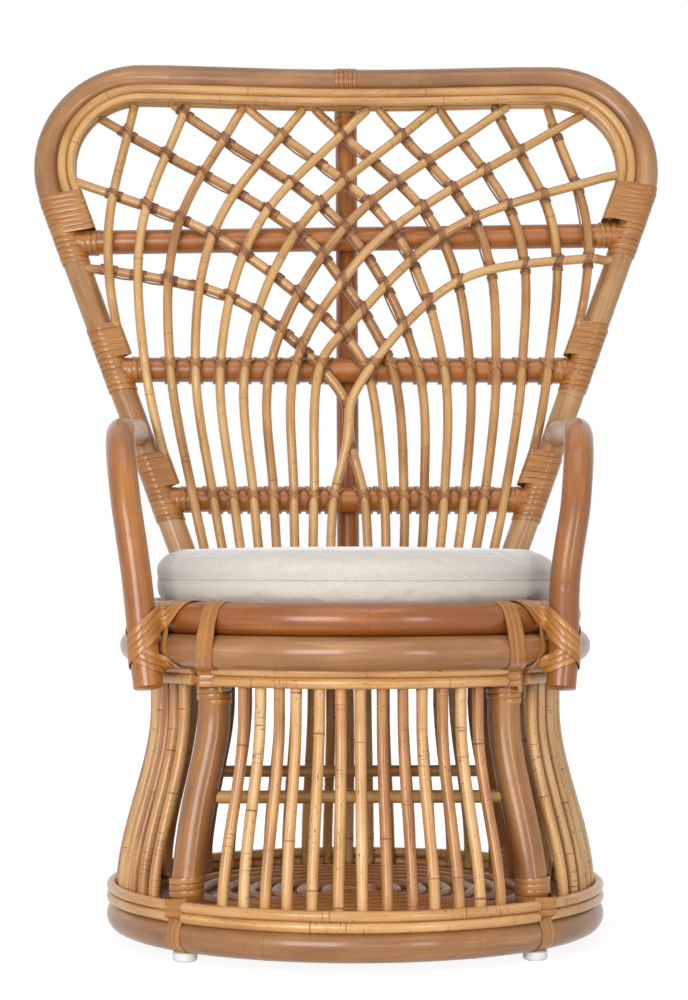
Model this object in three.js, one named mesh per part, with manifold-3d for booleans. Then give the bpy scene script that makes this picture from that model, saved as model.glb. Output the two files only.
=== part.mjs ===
// A rattan peacock chair: a flared base of bent spindles, a round seat with a loose cushion,
// two bent arms and a tall fan back whose rods cross in a lattice.
// Millimetres, +Z up, the sitter faces -Y. The chair is worked out about the middle of its base
// ring and then set down with its origin under the middle of its box.
import * as THREE from 'three';
import { mergeVertices } from 'three/addons/utils/BufferGeometryUtils.js';
import Module from 'manifold-3d';

const wasm = await Module();
wasm.setup();

// Fits
const CLEARANCE = 0.3; // between pieces that touch
const LEG_FIT = 0.9; // between a leg and the ring and hoops that it is bound to
const SINK = 1; // how far nailed rods of one piece run into each other
const NOTCH = 1.2; // depth of the shallow seat cut where a pole stands against a ring

// Rattan stock
const RING_POLE_DIAMETER = 38;
const LEG_DIAMETER = 38;
const FRAME_POLE_DIAMETER = 35;
const RAIL_DIAMETER = 33;
const CENTRE_POST_DIAMETER = 26;
const HOOP_DIAMETER = 12;
const SPINDLE_DIAMETER = 13;
const ROD_DIAMETER = 11;
const STRETCHER_DIAMETER = 15;
const BATTEN_DIAMETER = 16;
const SHELF_ROD_DIAMETER = 13;
const DECK_ROD_DIAMETER = 12;
const BEARER_DIAMETER = 18;

// Base
const GLIDE_DIAMETER = 28;
const GLIDE_HEIGHT = 10;
const BASE_RING_RADIUS = 281; // to the middle of the pole, as for every ring and hoop here
const FLARE_LOW = 60; // the legs and spindles swing inwards between these heights
const FLARE_HIGH = 275;
const LEG_TURN = 47.5; // degrees from the front or the back to a leg
const STRETCHER_HEIGHT = 182;
const SPINDLES_PER_PANEL = 13;
const SPINDLE_MARGIN = 11.4; // degrees between the hoops' ends and the first spindle beside them
const SHELF_TURNS = 7;
const SHELF_EYE = 20; // radius at which the shelf coil starts
const SHELF_MARGIN = 9; // between the shelf coil and the legs
const BATTEN_RISE = 8; // battens above the middle of the base ring

// Seat
const SEAT_HEIGHT = 350.5; // middle of the lower seat ring
const SEAT_RING_RADIUS = 266;
const UPPER_RING_INSET = 11; // upper seat ring inside the lower one
const UPPER_RING_RADIUS = SEAT_RING_RADIUS - UPPER_RING_INSET;
const LEG_REACH = 28; // leg tops above the middle of the lower seat ring
const DECK_SPACING = 38;
const DECK_RISE = 8; // deck rods above the middle of the upper seat ring
const BEARER_OFFSET = 110;
const DECK_OVERHANG = 40; // least length of a deck rod past a bearer
const CUSHION_INSET = 12; // cushion edge inside the middle of the upper seat ring
const CUSHION_THICKNESS = 65;
const CUSHION_BACK_GAP = 6; // between the cushion and the rods of the back

// Arms
const ARM_ANGLE = { right: 39.5, left: 35 }; // degrees from the chair's side to the arm's foot
const POLE_DROP = 43; // arm and back poles end this far below the middle of the lower seat ring
const ARM_RISE = 252; // arm's front bend above the middle of the lower seat ring
const ARM_SPREAD = { right: 27, left: 34 }; // outwards lean of the arm's front pole
const ARM_BOW = { right: 6, left: 2 }; // inwards bow of the front pole halfway up to its bend
const ARM_SETBACK = 50; // backwards lean of the arm's front pole
const ARM_BEND = 88; // length of each leg of the front bend
const ARM_REAR = 276; // where the arm meets the back pole, measured up the back
const ARM_STOP = 6; // from the middle of the back pole to the arm's end, which is coped to it

// Back, measured up its slope from the height of the lower seat ring
const BACK_RECLINE = 10; // degrees
const BACK_LEAN = 20.3; // degrees, outwards lean of the back poles
const BACK_FOOT = 178; // half the distance between the back poles at the seat
const BACK_LENGTH = 773;
const BACK_DIP = 5; // sag of the top pole at its middle
const LEVEL_SHARE = 0.1; // share of the top that is level beside the splice
const CORNER_RADIUS = 128;
const SEAT_RAIL = 81;
const LOWER_RAIL = 184;
const MIDDLE_RAIL = 361;
const UPPER_RAIL_DROP = 101; // upper rail below the start of the frame's corner bend
const UPPER_RAIL = BACK_LENGTH - CORNER_RADIUS - UPPER_RAIL_DROP;
const UPPER_RAIL_TILT = 6.5; // rise of the upper rail's right end, and fall of its left end
const HOOP_FRONT = 15.5; // inner hoops in front of the middle of the frame pole
const HOOP_ROOM = 2.8; // between the frame pole and the first hoop, where the splice is bound
const ROD_COPE = 2; // how deep the rod ends are let into the hoop in front of them
const HOOP_FOOT = 9; // hoop ends above the middle of the upper rail

// Lattice rods, counted from the middle outwards. Shares are of the half width between the poles.
const RODS_PER_SIDE = 10;
const FOOT_SHARE = { first: 0.125, step: 0.108 };
const LOWER_SHARE = { first: 0.08, step: 0.108 };
const MIDDLE_SHARE = { first: 0.012, step: 0.107 };
const UPPER_SHARE = { first: 0.5115, step: -0.192, bend: 0.0045 };
const END_SHARE = { first: -0.0482, step: 0.1159, bend: -0.0027 }; // along the inner hoop
const LEAST_END_SHARE = 0.067; // clear of the bindings that hold the hoop's ends
const CROSSING = { first: 315, second: 412, step: 74 }; // heights where rods cross the middle
const SECOND_ROD_SHARE = { left: 0.36, right: 0.45 }; // where the second rods pass the upper rail
const RIGHT_DRIFT = 16; // how much nearer the middle the inner rods rooted on the right run
const FIRST_ROD_DROP = 38; // the first rods end this far below the upper rail's end
const KNEE_SHARE = 0.41;
const KNEE_RISE = { left: 0.806, right: 0.72 }; // share of the way from the crossing to the rod's end
const LAST_FOOT_RODS = 8; // the rods beyond these start in a binding, beside a back pole
const TIE_TURN = 25; // degrees from the inside of the pole round to such a rod
const TIE_FIT = 0.5;
const TIE_ROOM = 5; // straight length of such a rod above its binding
const TIE_RUN = 40; // length in which it then comes forward to the others
const ROD_STEPS = 11;
const TUCK_START = 26; // above the upper rail the rods bend back behind the hoop
const TUCK_RUN = 154;
const LAYER_GAP = 0.6; // between the front rods and the rods behind them
const LIFT_RUN = 60; // length in which a front rod rises over the rods behind it
const LIFT_LEAD = 36;
const EARLY_LIFT_RUN = 100;
const EARLY_RODS = 3; // the innermost rods cross low down, so they rise from the lower rail

// Bindings of flat rattan peel
const PEEL_WIDTH = 8.4;
const PEEL_THICKNESS = 2.2;
const PEEL_PITCH = 9.6;
const PEEL_TURNS = 4;
const PEEL_SKEW = 0.22; // fall of a turn per length inwards, so that it lies nearly level
const PEEL_SLACK = 2.2; // how far a turn stands off the pole, hoops and rods that it binds
const PEEL_STEPS = 12;
const BINDING_GAP = 2; // between a binding and the rail under it
const SPLICE_WIDTH = 5.6;
const SPLICE_THICKNESS = 1.4;
const SPLICE_PITCH = 6.6;
const SPLICE_TURNS = 5;
const SPLICE_SLACK = 0.8;
const SPLICE_STEPS = 12;

// Facets
const POLE_SIDES = 8;
const ROD_SIDES = 5;
const RING_STEPS = 40;
const ARC_STEPS = 8;
const GLIDE_SIDES = 8;
const CUSHION_SIDES = 24;

// Worked-out radii and places
const ringR = RING_POLE_DIAMETER / 2;
const legR = LEG_DIAMETER / 2;
const poleR = FRAME_POLE_DIAMETER / 2;
const railR = RAIL_DIAMETER / 2;
const hoopR = HOOP_DIAMETER / 2;
const spindleR = SPINDLE_DIAMETER / 2;
const rodR = ROD_DIAMETER / 2;
const radians = THREE.MathUtils.degToRad;
const smooth = THREE.MathUtils.smoothstep;
const mix = THREE.MathUtils.lerp;

const baseHeight = GLIDE_HEIGHT + CLEARANCE + ringR;
const upperHeight = SEAT_HEIGHT + Math.sqrt((2 * ringR + CLEARANCE) ** 2 - UPPER_RING_INSET ** 2);

// The paired hoops of the skirt lie flush with the base ring below and against the legs above.
const seatHoopRadius = SEAT_RING_RADIUS - ringR + hoopR;
const legTopRadius = seatHoopRadius - hoopR - LEG_FIT - legR;
const baseHoopRadius = BASE_RING_RADIUS + ringR - hoopR;
const legLowRadius = baseHoopRadius - hoopR - LEG_FIT - legR;
const hoopReach = ringR + hoopR + CLEARANCE;
const hoopStack = HOOP_DIAMETER + CLEARANCE;
const seatHoopTop = SEAT_HEIGHT - Math.sqrt(hoopReach ** 2 - (SEAT_RING_RADIUS - seatHoopRadius) ** 2);
const baseHoopLow = baseHeight + Math.sqrt(hoopReach ** 2 - (baseHoopRadius - BASE_RING_RADIUS) ** 2);

// Unit vectors of the reclined back: up its slope and out towards the sitter
const recline = radians(BACK_RECLINE);
const lean = radians(BACK_LEAN);
const backUp = new THREE.Vector3(0, Math.sin(recline), Math.cos(recline));
const backFront = new THREE.Vector3(0, -Math.cos(recline), Math.sin(recline));
const upwards = new THREE.Vector3(0, 0, 1);

// The back poles stand outside the lower seat ring, leaning away from it.
const poleStand = (ringR + poleR + CLEARANCE) / Math.cos(lean) - NOTCH;
const backFootY = Math.sqrt((SEAT_RING_RADIUS + poleStand) ** 2 - BACK_FOOT ** 2);

function onBack(x, height, front = 0) {
  const foot = new THREE.Vector3(x, backFootY, SEAT_HEIGHT);
  return foot.addScaledVector(backUp, height).addScaledVector(backFront, front);
}

function poleX(height) {
  return BACK_FOOT + height * Math.tan(lean);
}

function upperRail(side) {
  return UPPER_RAIL + side * UPPER_RAIL_TILT;
}

// Surfaces and booleans

// A path through exactly the points it is given, so that straight runs take one step.
class Route extends THREE.Curve {
  constructor(points) {
    super();
    this.points = points;
  }

  getPoint(t, target = new THREE.Vector3()) {
    const place = t * (this.points.length - 1);
    const i = Math.min(Math.floor(place), this.points.length - 2);
    return target.lerpVectors(this.points[i], this.points[i + 1], place - i);
  }

  getTangent(t, target = new THREE.Vector3()) {
    const last = this.points.length - 1;
    const i = Math.round(t * last);
    const here = this.points[i];
    const ahead = this.points[Math.min(i + 1, last)].clone().sub(here).normalize();
    const behind = here.clone().sub(this.points[Math.max(i - 1, 0)]).normalize();
    return target.copy(ahead).add(behind).normalize();
  }

  getPointAt(u, target) {
    return this.getPoint(u, target);
  }

  getTangentAt(u, target) {
    return this.getTangent(u, target);
  }

  getSpacedPoints() {
    return this.points.map((point) => point.clone());
  }
}

// A pole or rod along the points, with one corner of its section turned to the facing side.
function tube(points, radius, facets, facing) {
  const route = new Route(points);
  const steps = points.length - 1;
  const frames = route.computeFrenetFrames(steps, false);
  const turn = Math.atan2(facing.dot(frames.binormals[0]), facing.dot(frames.normals[0]));
  const corners = Array.from({ length: facets }, (_, i) => {
    const angle = turn + (i / facets) * 2 * Math.PI;
    return new THREE.Vector2(radius * Math.cos(angle), radius * Math.sin(angle));
  });
  const section = new THREE.Shape(corners);
  return new THREE.ExtrudeGeometry(section, { extrudePath: route, steps, bevelEnabled: false });
}

function ring(radius, sectionRadius, height) {
  const geometry = new THREE.TorusGeometry(radius, sectionRadius, POLE_SIDES, RING_STEPS);
  return geometry.translate(0, 0, height);
}

function toSolid(geometry) {
  const bare = geometry.clone();
  bare.deleteAttribute('normal');
  bare.deleteAttribute('uv');
  const merged = mergeVertices(bare);
  const vertProperties = new Float32Array(merged.attributes.position.array);
  const triVerts = new Uint32Array(merged.index.array);
  return new wasm.Manifold(new wasm.Mesh({ numProp: 3, vertProperties, triVerts }));
}

function toGeometry(solid) {
  const mesh = solid.getMesh();
  const geometry = new THREE.BufferGeometry();
  geometry.setAttribute('position', new THREE.BufferAttribute(mesh.vertProperties, 3));
  geometry.setIndex(new THREE.BufferAttribute(mesh.triVerts, 1));
  return geometry;
}

function join(geometries) {
  return toGeometry(geometries.map(toSolid).reduce((sum, next) => sum.add(next)));
}

function cut(geometry, cutters) {
  return toGeometry(cutters.map(toSolid).reduce((rest, cutter) => rest.subtract(cutter), toSolid(geometry)));
}

// Finishes
const finish = (color, roughness) => new THREE.MeshStandardMaterial({ color, roughness, metalness: 0 });
const poleFinish = finish(0xbe9169, 0.4);
const rodFinish = finish(0xcda064, 0.45);
const railFinish = finish(0xaf7346, 0.45);
const peelFinish = finish(0xd69a58, 0.5);
const clothFinish = finish(0xe9e4de, 0.9);
const glideFinish = finish(0xf2f2f0, 0.5);

const chair = new THREE.Group();

function addPiece(name, geometry, material) {
  const mesh = new THREE.Mesh(geometry, material);
  mesh.name = name;
  chair.add(mesh);
}

const around = (radius, angle, height) =>
  new THREE.Vector3(radius * Math.cos(angle), radius * Math.sin(angle), height);
const outwards = (angle) => new THREE.Vector3(Math.cos(angle), Math.sin(angle), 0);
const sides = { right: 1, left: -1 };
const glideAngles = { rear_right: 45, rear_left: 135, front_left: 225, front_right: 315 };
const legAngles = {
  rear_right: 90 - LEG_TURN,
  rear_left: 90 + LEG_TURN,
  front_left: 270 - LEG_TURN,
  front_right: 270 + LEG_TURN,
};
const panelAngles = { rear: 90, left: 180, front: 270, right: 0 };

// Base ring on four plastic glides
const baseRing = ring(BASE_RING_RADIUS, ringR, baseHeight);
addPiece('base_ring', baseRing, poleFinish);

const glideChamfer = 2;
const glideProfile = [
  [0, 0],
  [GLIDE_DIAMETER / 2 - glideChamfer, 0],
  [GLIDE_DIAMETER / 2, glideChamfer],
  [GLIDE_DIAMETER / 2, GLIDE_HEIGHT],
  [0, GLIDE_HEIGHT],
].map(([x, y]) => new THREE.Vector2(x, y));

for (const [name, degrees] of Object.entries(glideAngles)) {
  const glide = new THREE.LatheGeometry(glideProfile, GLIDE_SIDES);
  glide.rotateX(Math.PI / 2);
  const place = around(BASE_RING_RADIUS, radians(degrees), 0);
  addPiece(`foot_glide_${name}`, glide.translate(place.x, place.y, place.z), glideFinish);
}

// Legs, saddled on the base ring and notched under the upper seat ring
const flare = (height) => smooth(height, FLARE_LOW, FLARE_HIGH);
const flareHeights = [0, 0.25, 0.5, 0.75, 1].map((share) => mix(FLARE_LOW, FLARE_HIGH, share));
const legRadius = (height) => mix(legLowRadius, legTopRadius, flare(height));

function leg(degrees, radius) {
  const angle = radians(degrees);
  const heights = [baseHeight + ringR / 2, ...flareHeights, SEAT_HEIGHT + LEG_REACH];
  const points = heights.map((height) => around(legRadius(height), angle, height));
  return tube(points, radius, POLE_SIDES, outwards(angle));
}

const legSeats = [
  ring(BASE_RING_RADIUS, ringR + CLEARANCE, baseHeight),
  ring(UPPER_RING_RADIUS, ringR + CLEARANCE, upperHeight),
];
for (const [name, degrees] of Object.entries(legAngles)) {
  addPiece(`leg_${name}`, cut(leg(degrees, legR), legSeats), poleFinish);
}

// Stretchers coped between the legs
const legBores = Object.values(legAngles).map((degrees) => leg(degrees, legR + CLEARANCE));
for (const [name, side] of Object.entries({ front: -1, rear: 1 })) {
  const reach = around(legRadius(STRETCHER_HEIGHT), radians(legAngles.rear_right), STRETCHER_HEIGHT);
  const ends = [-1, 1].map((end) => new THREE.Vector3(end * reach.x, side * reach.y, reach.z));
  const bar = tube(ends, STRETCHER_DIAMETER / 2, POLE_SIDES, upwards);
  addPiece(`stretcher_${name}`, cut(bar, legBores), rodFinish);
}

// Shelf in the base: one rod coiled flat on two crossed battens that butt inside the base ring
const shelfRodR = SHELF_ROD_DIAMETER / 2;
const battenHeight = baseHeight + BATTEN_RISE;
const shelfHeight = battenHeight + BATTEN_DIAMETER / 2 + shelfRodR - SINK;
const shelfRadius = legLowRadius - legR - SHELF_MARGIN - shelfRodR;
const shelfStepsPerTurn = 12;
const coilPoints = Array.from({ length: SHELF_TURNS * shelfStepsPerTurn + 1 }, (_, i) => {
  const turns = i / shelfStepsPerTurn;
  const radius = mix(SHELF_EYE, shelfRadius, turns / SHELF_TURNS);
  return around(radius, turns * 2 * Math.PI, shelfHeight);
});

function leastGap(points, stepsPerTurn, thickness) {
  let least = Infinity;
  for (let i = 0; i < points.length; i += 1) {
    for (let j = i + Math.ceil(stepsPerTurn / 2); j < points.length; j += 1) {
      least = Math.min(least, points[i].distanceTo(points[j]));
    }
  }
  return least - thickness;
}

const battens = [new THREE.Vector3(1, 0, 0), new THREE.Vector3(0, 1, 0)].map((way) => {
  const ends = [-BASE_RING_RADIUS, BASE_RING_RADIUS].map((reach) => {
    return new THREE.Vector3(0, 0, battenHeight).addScaledVector(way, reach);
  });
  return tube(ends, BATTEN_DIAMETER / 2, POLE_SIDES, upwards);
});
const shelf = join([...battens, tube(coilPoints, shelfRodR, ROD_SIDES, upwards.clone().negate())]);
addPiece('base_shelf', cut(shelf, [legSeats[0]]), rodFinish);
console.log('least gap in the shelf coil', leastGap(coilPoints, shelfStepsPerTurn, SHELF_ROD_DIAMETER));

// Skirt panels between the legs: spindles nailed inside a pair of hoops above and a pair below
const hoopHalfGap = CLEARANCE + SINK / 2;

function hoopArc(middle, radius, height) {
  const reach = Math.PI / 4 - hoopHalfGap / radius;
  const points = Array.from({ length: ARC_STEPS + 1 }, (_, i) => {
    return around(radius, middle + mix(-reach, reach, i / ARC_STEPS), height);
  });
  return tube(points, hoopR, ROD_SIDES - 1, outwards(middle - reach));
}

function spindle(angle) {
  const inside = hoopR + spindleR - SINK;
  const foot = baseHeight + ringR + CLEARANCE;
  const head = seatHoopTop + hoopR;
  const heights = [foot, mix(FLARE_LOW, FLARE_HIGH, 0.2), mix(FLARE_LOW, FLARE_HIGH, 0.8), head];
  const points = heights.map((height) => {
    return around(mix(baseHoopRadius, seatHoopRadius, flare(height)) - inside, angle, height);
  });
  return tube(points, spindleR, ROD_SIDES - 1, outwards(angle));
}

for (const [name, degrees] of Object.entries(panelAngles)) {
  const middle = radians(degrees);
  const spread = radians(45 - SPINDLE_MARGIN);
  const spindles = Array.from({ length: SPINDLES_PER_PANEL }, (_, i) => {
    return spindle(middle + mix(-spread, spread, i / (SPINDLES_PER_PANEL - 1)));
  });
  const hoops = [0, 1].flatMap((i) => [
    hoopArc(middle, baseHoopRadius, baseHoopLow + i * hoopStack),
    hoopArc(middle, seatHoopRadius, seatHoopTop - i * hoopStack),
  ]);
  addPiece(`skirt_${name}`, join([...hoops, ...spindles]), rodFinish);
}

// Seat rings, and a deck of rods on two bearers coped inside the upper ring
addPiece('seat_ring_lower', ring(SEAT_RING_RADIUS, ringR, SEAT_HEIGHT), poleFinish);
addPiece('seat_ring_upper', ring(UPPER_RING_RADIUS, ringR, upperHeight), poleFinish);

const deckRodR = DECK_ROD_DIAMETER / 2;
const bearerR = BEARER_DIAMETER / 2;
const deckHeight = upperHeight + DECK_RISE;
const bearerHeight = deckHeight - deckRodR - bearerR + SINK;
const chord = (offset) => Math.sqrt(UPPER_RING_RADIUS ** 2 - offset ** 2);
const deckReach = Math.sqrt(UPPER_RING_RADIUS ** 2 - (BEARER_OFFSET + DECK_OVERHANG) ** 2);
const deckRodsBeside = Math.floor(deckReach / DECK_SPACING); // on each side of the middle one
const deckRods = Array.from({ length: 2 * deckRodsBeside + 1 }, (_, i) => {
  const x = (i - deckRodsBeside) * DECK_SPACING;
  const ends = [-chord(x), chord(x)].map((y) => new THREE.Vector3(x, y, deckHeight));
  return tube(ends, deckRodR, ROD_SIDES + 1, upwards);
});
const bearers = [-BEARER_OFFSET, BEARER_OFFSET].map((y) => {
  const ends = [-chord(y), chord(y)].map((x) => new THREE.Vector3(x, y, bearerHeight));
  return tube(ends, bearerR, POLE_SIDES, upwards);
});
addPiece('seat_deck', cut(join([...deckRods, ...bearers]), [legSeats[1]]), rodFinish);

// Loose cushion: a round pad cut straight at the back, crowned, and drawn in at its seam
const rodFront = railR + rodR * Math.cos(Math.PI / ROD_SIDES) + CLEARANCE;
const layerStep = ROD_DIAMETER + LAYER_GAP;
const cushionRadius = UPPER_RING_RADIUS - CUSHION_INSET;
const cushionFloor = deckHeight + deckRodR + CLEARANCE;
const cushionBack = onBack(0, cushionFloor - SEAT_HEIGHT, rodFront + rodR).y - CUSHION_BACK_GAP;
// Share of the radius and share of the thickness, from the middle below to the middle above
const cushionProfile = [
  [0, 0],
  [0.5, 0],
  [0.86, 0],
  [0.955, 0.13],
  [0.995, 0.32],
  [0.98, 0.47],
  [1, 0.62],
  [0.97, 0.8],
  [0.89, 0.91],
  [0.5, 0.98],
  [0, 1],
];
const cushion = new THREE.LatheGeometry(
  cushionProfile.map(([out, up]) => new THREE.Vector2(out * cushionRadius, up * CUSHION_THICKNESS)),
  CUSHION_SIDES,
);
cushion.rotateX(Math.PI / 2).translate(0, 0, cushionFloor);
const cornerSharpness = 14;
const cushionPoint = new THREE.Vector3();
for (let i = 0; i < cushion.attributes.position.count; i += 1) {
  cushionPoint.fromBufferAttribute(cushion.attributes.position, i);
  const turn = Math.atan2(cushionPoint.y, cushionPoint.x);
  const wall = (Math.max(Math.sin(turn), 0) * cushionRadius) / cushionBack;
  const squeeze = (1 + wall ** cornerSharpness) ** (-1 / cornerSharpness);
  cushion.attributes.position.setXY(i, cushionPoint.x * squeeze, cushionPoint.y * squeeze);
}
addPiece('seat_cushion', cushion, clothFinish);

// The outline of one half of the back, from a height on the pole over the corner to the middle
function halfOutline(inset, foot, front) {
  const bend = CORNER_RADIUS - inset;
  const centreHeight = BACK_LENGTH - CORNER_RADIUS;
  const centreX = poleX(centreHeight) - CORNER_RADIUS / Math.cos(lean);
  const footX = poleX(foot) - inset / Math.cos(lean);
  const corner = Array.from({ length: ARC_STEPS + 1 }, (_, i) => {
    const angle = mix(-lean, Math.PI / 2, i / ARC_STEPS);
    return onBack(centreX + bend * Math.cos(angle), centreHeight + bend * Math.sin(angle), front);
  });
  const dip = [0.5, LEVEL_SHARE, 0].map((share) => {
    const sag = BACK_DIP * smooth(1 - share, 0, 1 - LEVEL_SHARE);
    return onBack(centreX * share, BACK_LENGTH - inset - sag, front);
  });
  return [onBack(footX, foot, front), ...corner, ...dip];
}

const mirrored = (points) => points.map((point) => new THREE.Vector3(-point.x, point.y, point.z));
const towards = (side, points) => (side > 0 ? points : mirrored(points));

// Frame poles: two bent halves that meet at the top and stand outside the lower seat ring
function framePole(side, radius) {
  const points = halfOutline(0, -POLE_DROP / Math.cos(recline), 0);
  points[points.length - 1].x = CLEARANCE / 2;
  return tube(towards(side, points), radius, POLE_SIDES, backFront);
}

const lowerSeat = ring(SEAT_RING_RADIUS, ringR + CLEARANCE, SEAT_HEIGHT);
for (const [name, side] of Object.entries(sides)) {
  addPiece(`back_frame_${name}`, cut(framePole(side, poleR), [lowerSeat]), poleFinish);
}
const frameBores = Object.values(sides).map((side) => framePole(side, poleR + CLEARANCE));

// Arms: a front pole against the seat ring, one bend, and a run back to the frame pole
function armPoints(name) {
  const angle = -radians(ARM_ANGLE[name]);
  const stand = SEAT_RING_RADIUS + ringR + poleR + CLEARANCE - NOTCH;
  const seat = around(stand, angle, SEAT_HEIGHT);
  const corner = seat.clone().add(new THREE.Vector3(ARM_SPREAD[name], ARM_SETBACK, ARM_RISE));
  const rear = onBack(poleX(ARM_REAR), ARM_REAR);
  const up = corner.clone().sub(seat).normalize();
  const back = rear.clone().sub(corner).normalize();
  const foot = seat.clone().addScaledVector(up, -POLE_DROP / up.z);
  const bend = new THREE.QuadraticBezierCurve3(
    corner.clone().addScaledVector(up, -ARM_BEND),
    corner,
    corner.clone().addScaledVector(back, ARM_BEND),
  );
  const halfway = seat.clone().lerp(bend.v0, 0.5).addScaledVector(outwards(angle), -ARM_BOW[name]);
  const end = rear.clone().addScaledVector(back, -ARM_STOP);
  return towards(sides[name], [foot, seat, halfway, ...bend.getPoints(ARC_STEPS), end]);
}

for (const [name, side] of Object.entries(sides)) {
  const turn = radians(ARM_ANGLE[name]);
  const inwards = outwards(side > 0 ? -turn : Math.PI + turn).negate();
  const arm = tube(armPoints(name), poleR, POLE_SIDES, inwards);
  addPiece(`arm_${name}`, cut(arm, [lowerSeat, ...frameBores]), poleFinish);
}

// Rails coped between the frame poles
const railHeights = { seat: SEAT_RAIL, lower: LOWER_RAIL, middle: MIDDLE_RAIL, upper: UPPER_RAIL };

function rail(name, radius) {
  const ends = [-1, 1].map((side) => {
    const height = name === 'upper' ? upperRail(side) : railHeights[name];
    return onBack(side * poleX(height), height);
  });
  return tube(ends, radius, POLE_SIDES, backFront);
}

for (const name of Object.keys(railHeights)) {
  addPiece(`back_rail_${name}`, cut(rail(name, railR), frameBores), railFinish);
}

// Centre post behind the rails, coped under the bound splice at the top of the frame
const postR = CENTRE_POST_DIAMETER / 2;
const postFront = -(railR + postR + CLEARANCE);
const topHeight = BACK_LENGTH - BACK_DIP;
const spliceR = poleR + SPLICE_SLACK + SPLICE_THICKNESS;
const postEnds = [SEAT_RAIL - railR, topHeight].map((height) => onBack(0, height, postFront));
const spliceEnds = [-2 * postR, 2 * postR].map((x) => onBack(x, topHeight));
const spliceBoreR = (spliceR + CLEARANCE) / Math.cos(Math.PI / POLE_SIDES);
const spliceBore = tube(spliceEnds, spliceBoreR, POLE_SIDES, backFront);
addPiece('back_centre_post', cut(tube(postEnds, postR, POLE_SIDES, backFront), [spliceBore]), railFinish);

// Hoops inside the frame: two in front, and one behind that the rod ends are held against
const hoopInset = Math.sqrt((poleR + hoopR + HOOP_ROOM) ** 2 - HOOP_FRONT ** 2);
const innerInset = hoopInset + hoopStack;
const tuckedFront = HOOP_FRONT - hoopR - rodR + ROD_COPE;
const rearHoopFront = tuckedFront - rodR - CLEARANCE - hoopR;

// The outline from the upper rail on one side, drawn as if on the right, to the rail on the other
function wholeOutline(side, inset, above, front) {
  const near = halfOutline(inset, upperRail(side) + above, front);
  const far = halfOutline(inset, upperRail(-side) + above, front);
  return [...near, ...mirrored(far.slice(0, -1)).reverse()];
}

function hoop(inset, front, radius) {
  return tube(wholeOutline(1, inset, HOOP_FOOT, front), radius, ROD_SIDES + 1, backFront);
}

const upperRailBore = rail('upper', railR + CLEARANCE);
const hoopPlaces = {
  outer: [hoopInset, HOOP_FRONT],
  inner: [innerInset, HOOP_FRONT],
  rear: [innerInset, rearHoopFront],
};
for (const [name, [inset, front]] of Object.entries(hoopPlaces)) {
  addPiece(`back_hoop_${name}`, cut(hoop(inset, front, hoopR), [upperRailBore]), rodFinish);
}

// Lattice rods. Those rooted on the left lie in front of those rooted on the right.
const series = ({ first, step, bend = 0 }, i) => first + step * i + bend * i * i;
function endRoute(side) {
  const outline = wholeOutline(side, innerInset + hoopR / 2, railR, 0);
  return new THREE.CatmullRomCurve3(outline, false, 'centripetal');
}

// Rods rooted on the left end on the right.
const endRoutes = { left: endRoute(1), right: endRoute(-1) };

function heightUpBack(point) {
  return (point.z - SEAT_HEIGHT) / Math.cos(recline);
}

// The last rods lie in a binding: their ends and the place on the pole where they are bound
const tieReach = poleR + rodR + TIE_FIT;
const tieInset = tieReach * Math.cos(radians(TIE_TURN));
const tieFront = tieReach * Math.sin(radians(TIE_TURN));
const bindingFoot = railR + BINDING_GAP;

function tieEnds(i) {
  const foot = (i === LAST_FOOT_RODS ? LOWER_RAIL : MIDDLE_RAIL) + bindingFoot;
  return [foot, foot + PEEL_TURNS * PEEL_PITCH + PEEL_WIDTH + TIE_ROOM];
}

const tiePlace = (height) => new THREE.Vector3(tieInset / Math.cos(lean) - poleX(height), height, 0);

// Flat course of a rod, drawn as if rooted on the left: x across the back and y up its slope
function rodCourse(name, i) {
  const course = [];
  const pass = (share, height, shift = 0) =>
    course.push(new THREE.Vector3(share * poleX(height) + shift, height, 0));
  const endSide = -sides[name];
  const drift = i > 0 && name === 'right' ? RIGHT_DRIFT * (1 - i / RODS_PER_SIDE) : 0;
  if (i < LAST_FOOT_RODS) {
    pass(-series(FOOT_SHARE, i), SEAT_RAIL);
    pass(-series(LOWER_SHARE, i), LOWER_RAIL);
  } else {
    course.push(tiePlace(tieEnds(i)[1]));
  }
  if (i > 0 && i <= LAST_FOOT_RODS) {
    pass(-series(MIDDLE_SHARE, i), MIDDLE_RAIL, drift);
  }
  if (i < EARLY_RODS) {
    pass(0, i === 0 ? CROSSING.first : CROSSING.second + (i - 1) * CROSSING.step, drift);
  }
  if (i === 0) {
    const end = upperRail(endSide) - FIRST_ROD_DROP;
    pass(KNEE_SHARE, mix(CROSSING.first, end, KNEE_RISE[name]));
    pass(1, end);
    return course;
  }
  const share = i === 1 ? SECOND_ROD_SHARE[name] : series(UPPER_SHARE, i);
  pass(share, UPPER_RAIL + endSide * share * UPPER_RAIL_TILT, drift / 2);
  const end = endRoutes[name].getPointAt(Math.max(series(END_SHARE, i), LEAST_END_SHARE));
  course.push(new THREE.Vector3(end.x, heightUpBack(end), 0));
  return course;
}

// How far a rod stands in front of the frame: on the rails, then tucked back to the hoops
function rearLayer(height) {
  const tuck = smooth(height, UPPER_RAIL + TUCK_START, UPPER_RAIL + TUCK_START + TUCK_RUN);
  return mix(rodFront, tuckedFront - layerStep, tuck);
}

function frontLift(i, height) {
  if (i < EARLY_RODS) {
    return layerStep * smooth(height, LOWER_RAIL, LOWER_RAIL + EARLY_LIFT_RUN);
  }
  const start = MIDDLE_RAIL - LIFT_LEAD;
  return layerStep * smooth(height, start, start + LIFT_RUN);
}

function rodDepth(name, i, height) {
  const free = rearLayer(height) + (name === 'left' ? frontLift(i, height) : 0);
  if (i < LAST_FOOT_RODS) {
    return free;
  }
  const tieTop = tieEnds(i)[1];
  return mix(tieFront, free, smooth(height, tieTop, tieTop + TIE_RUN));
}

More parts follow.
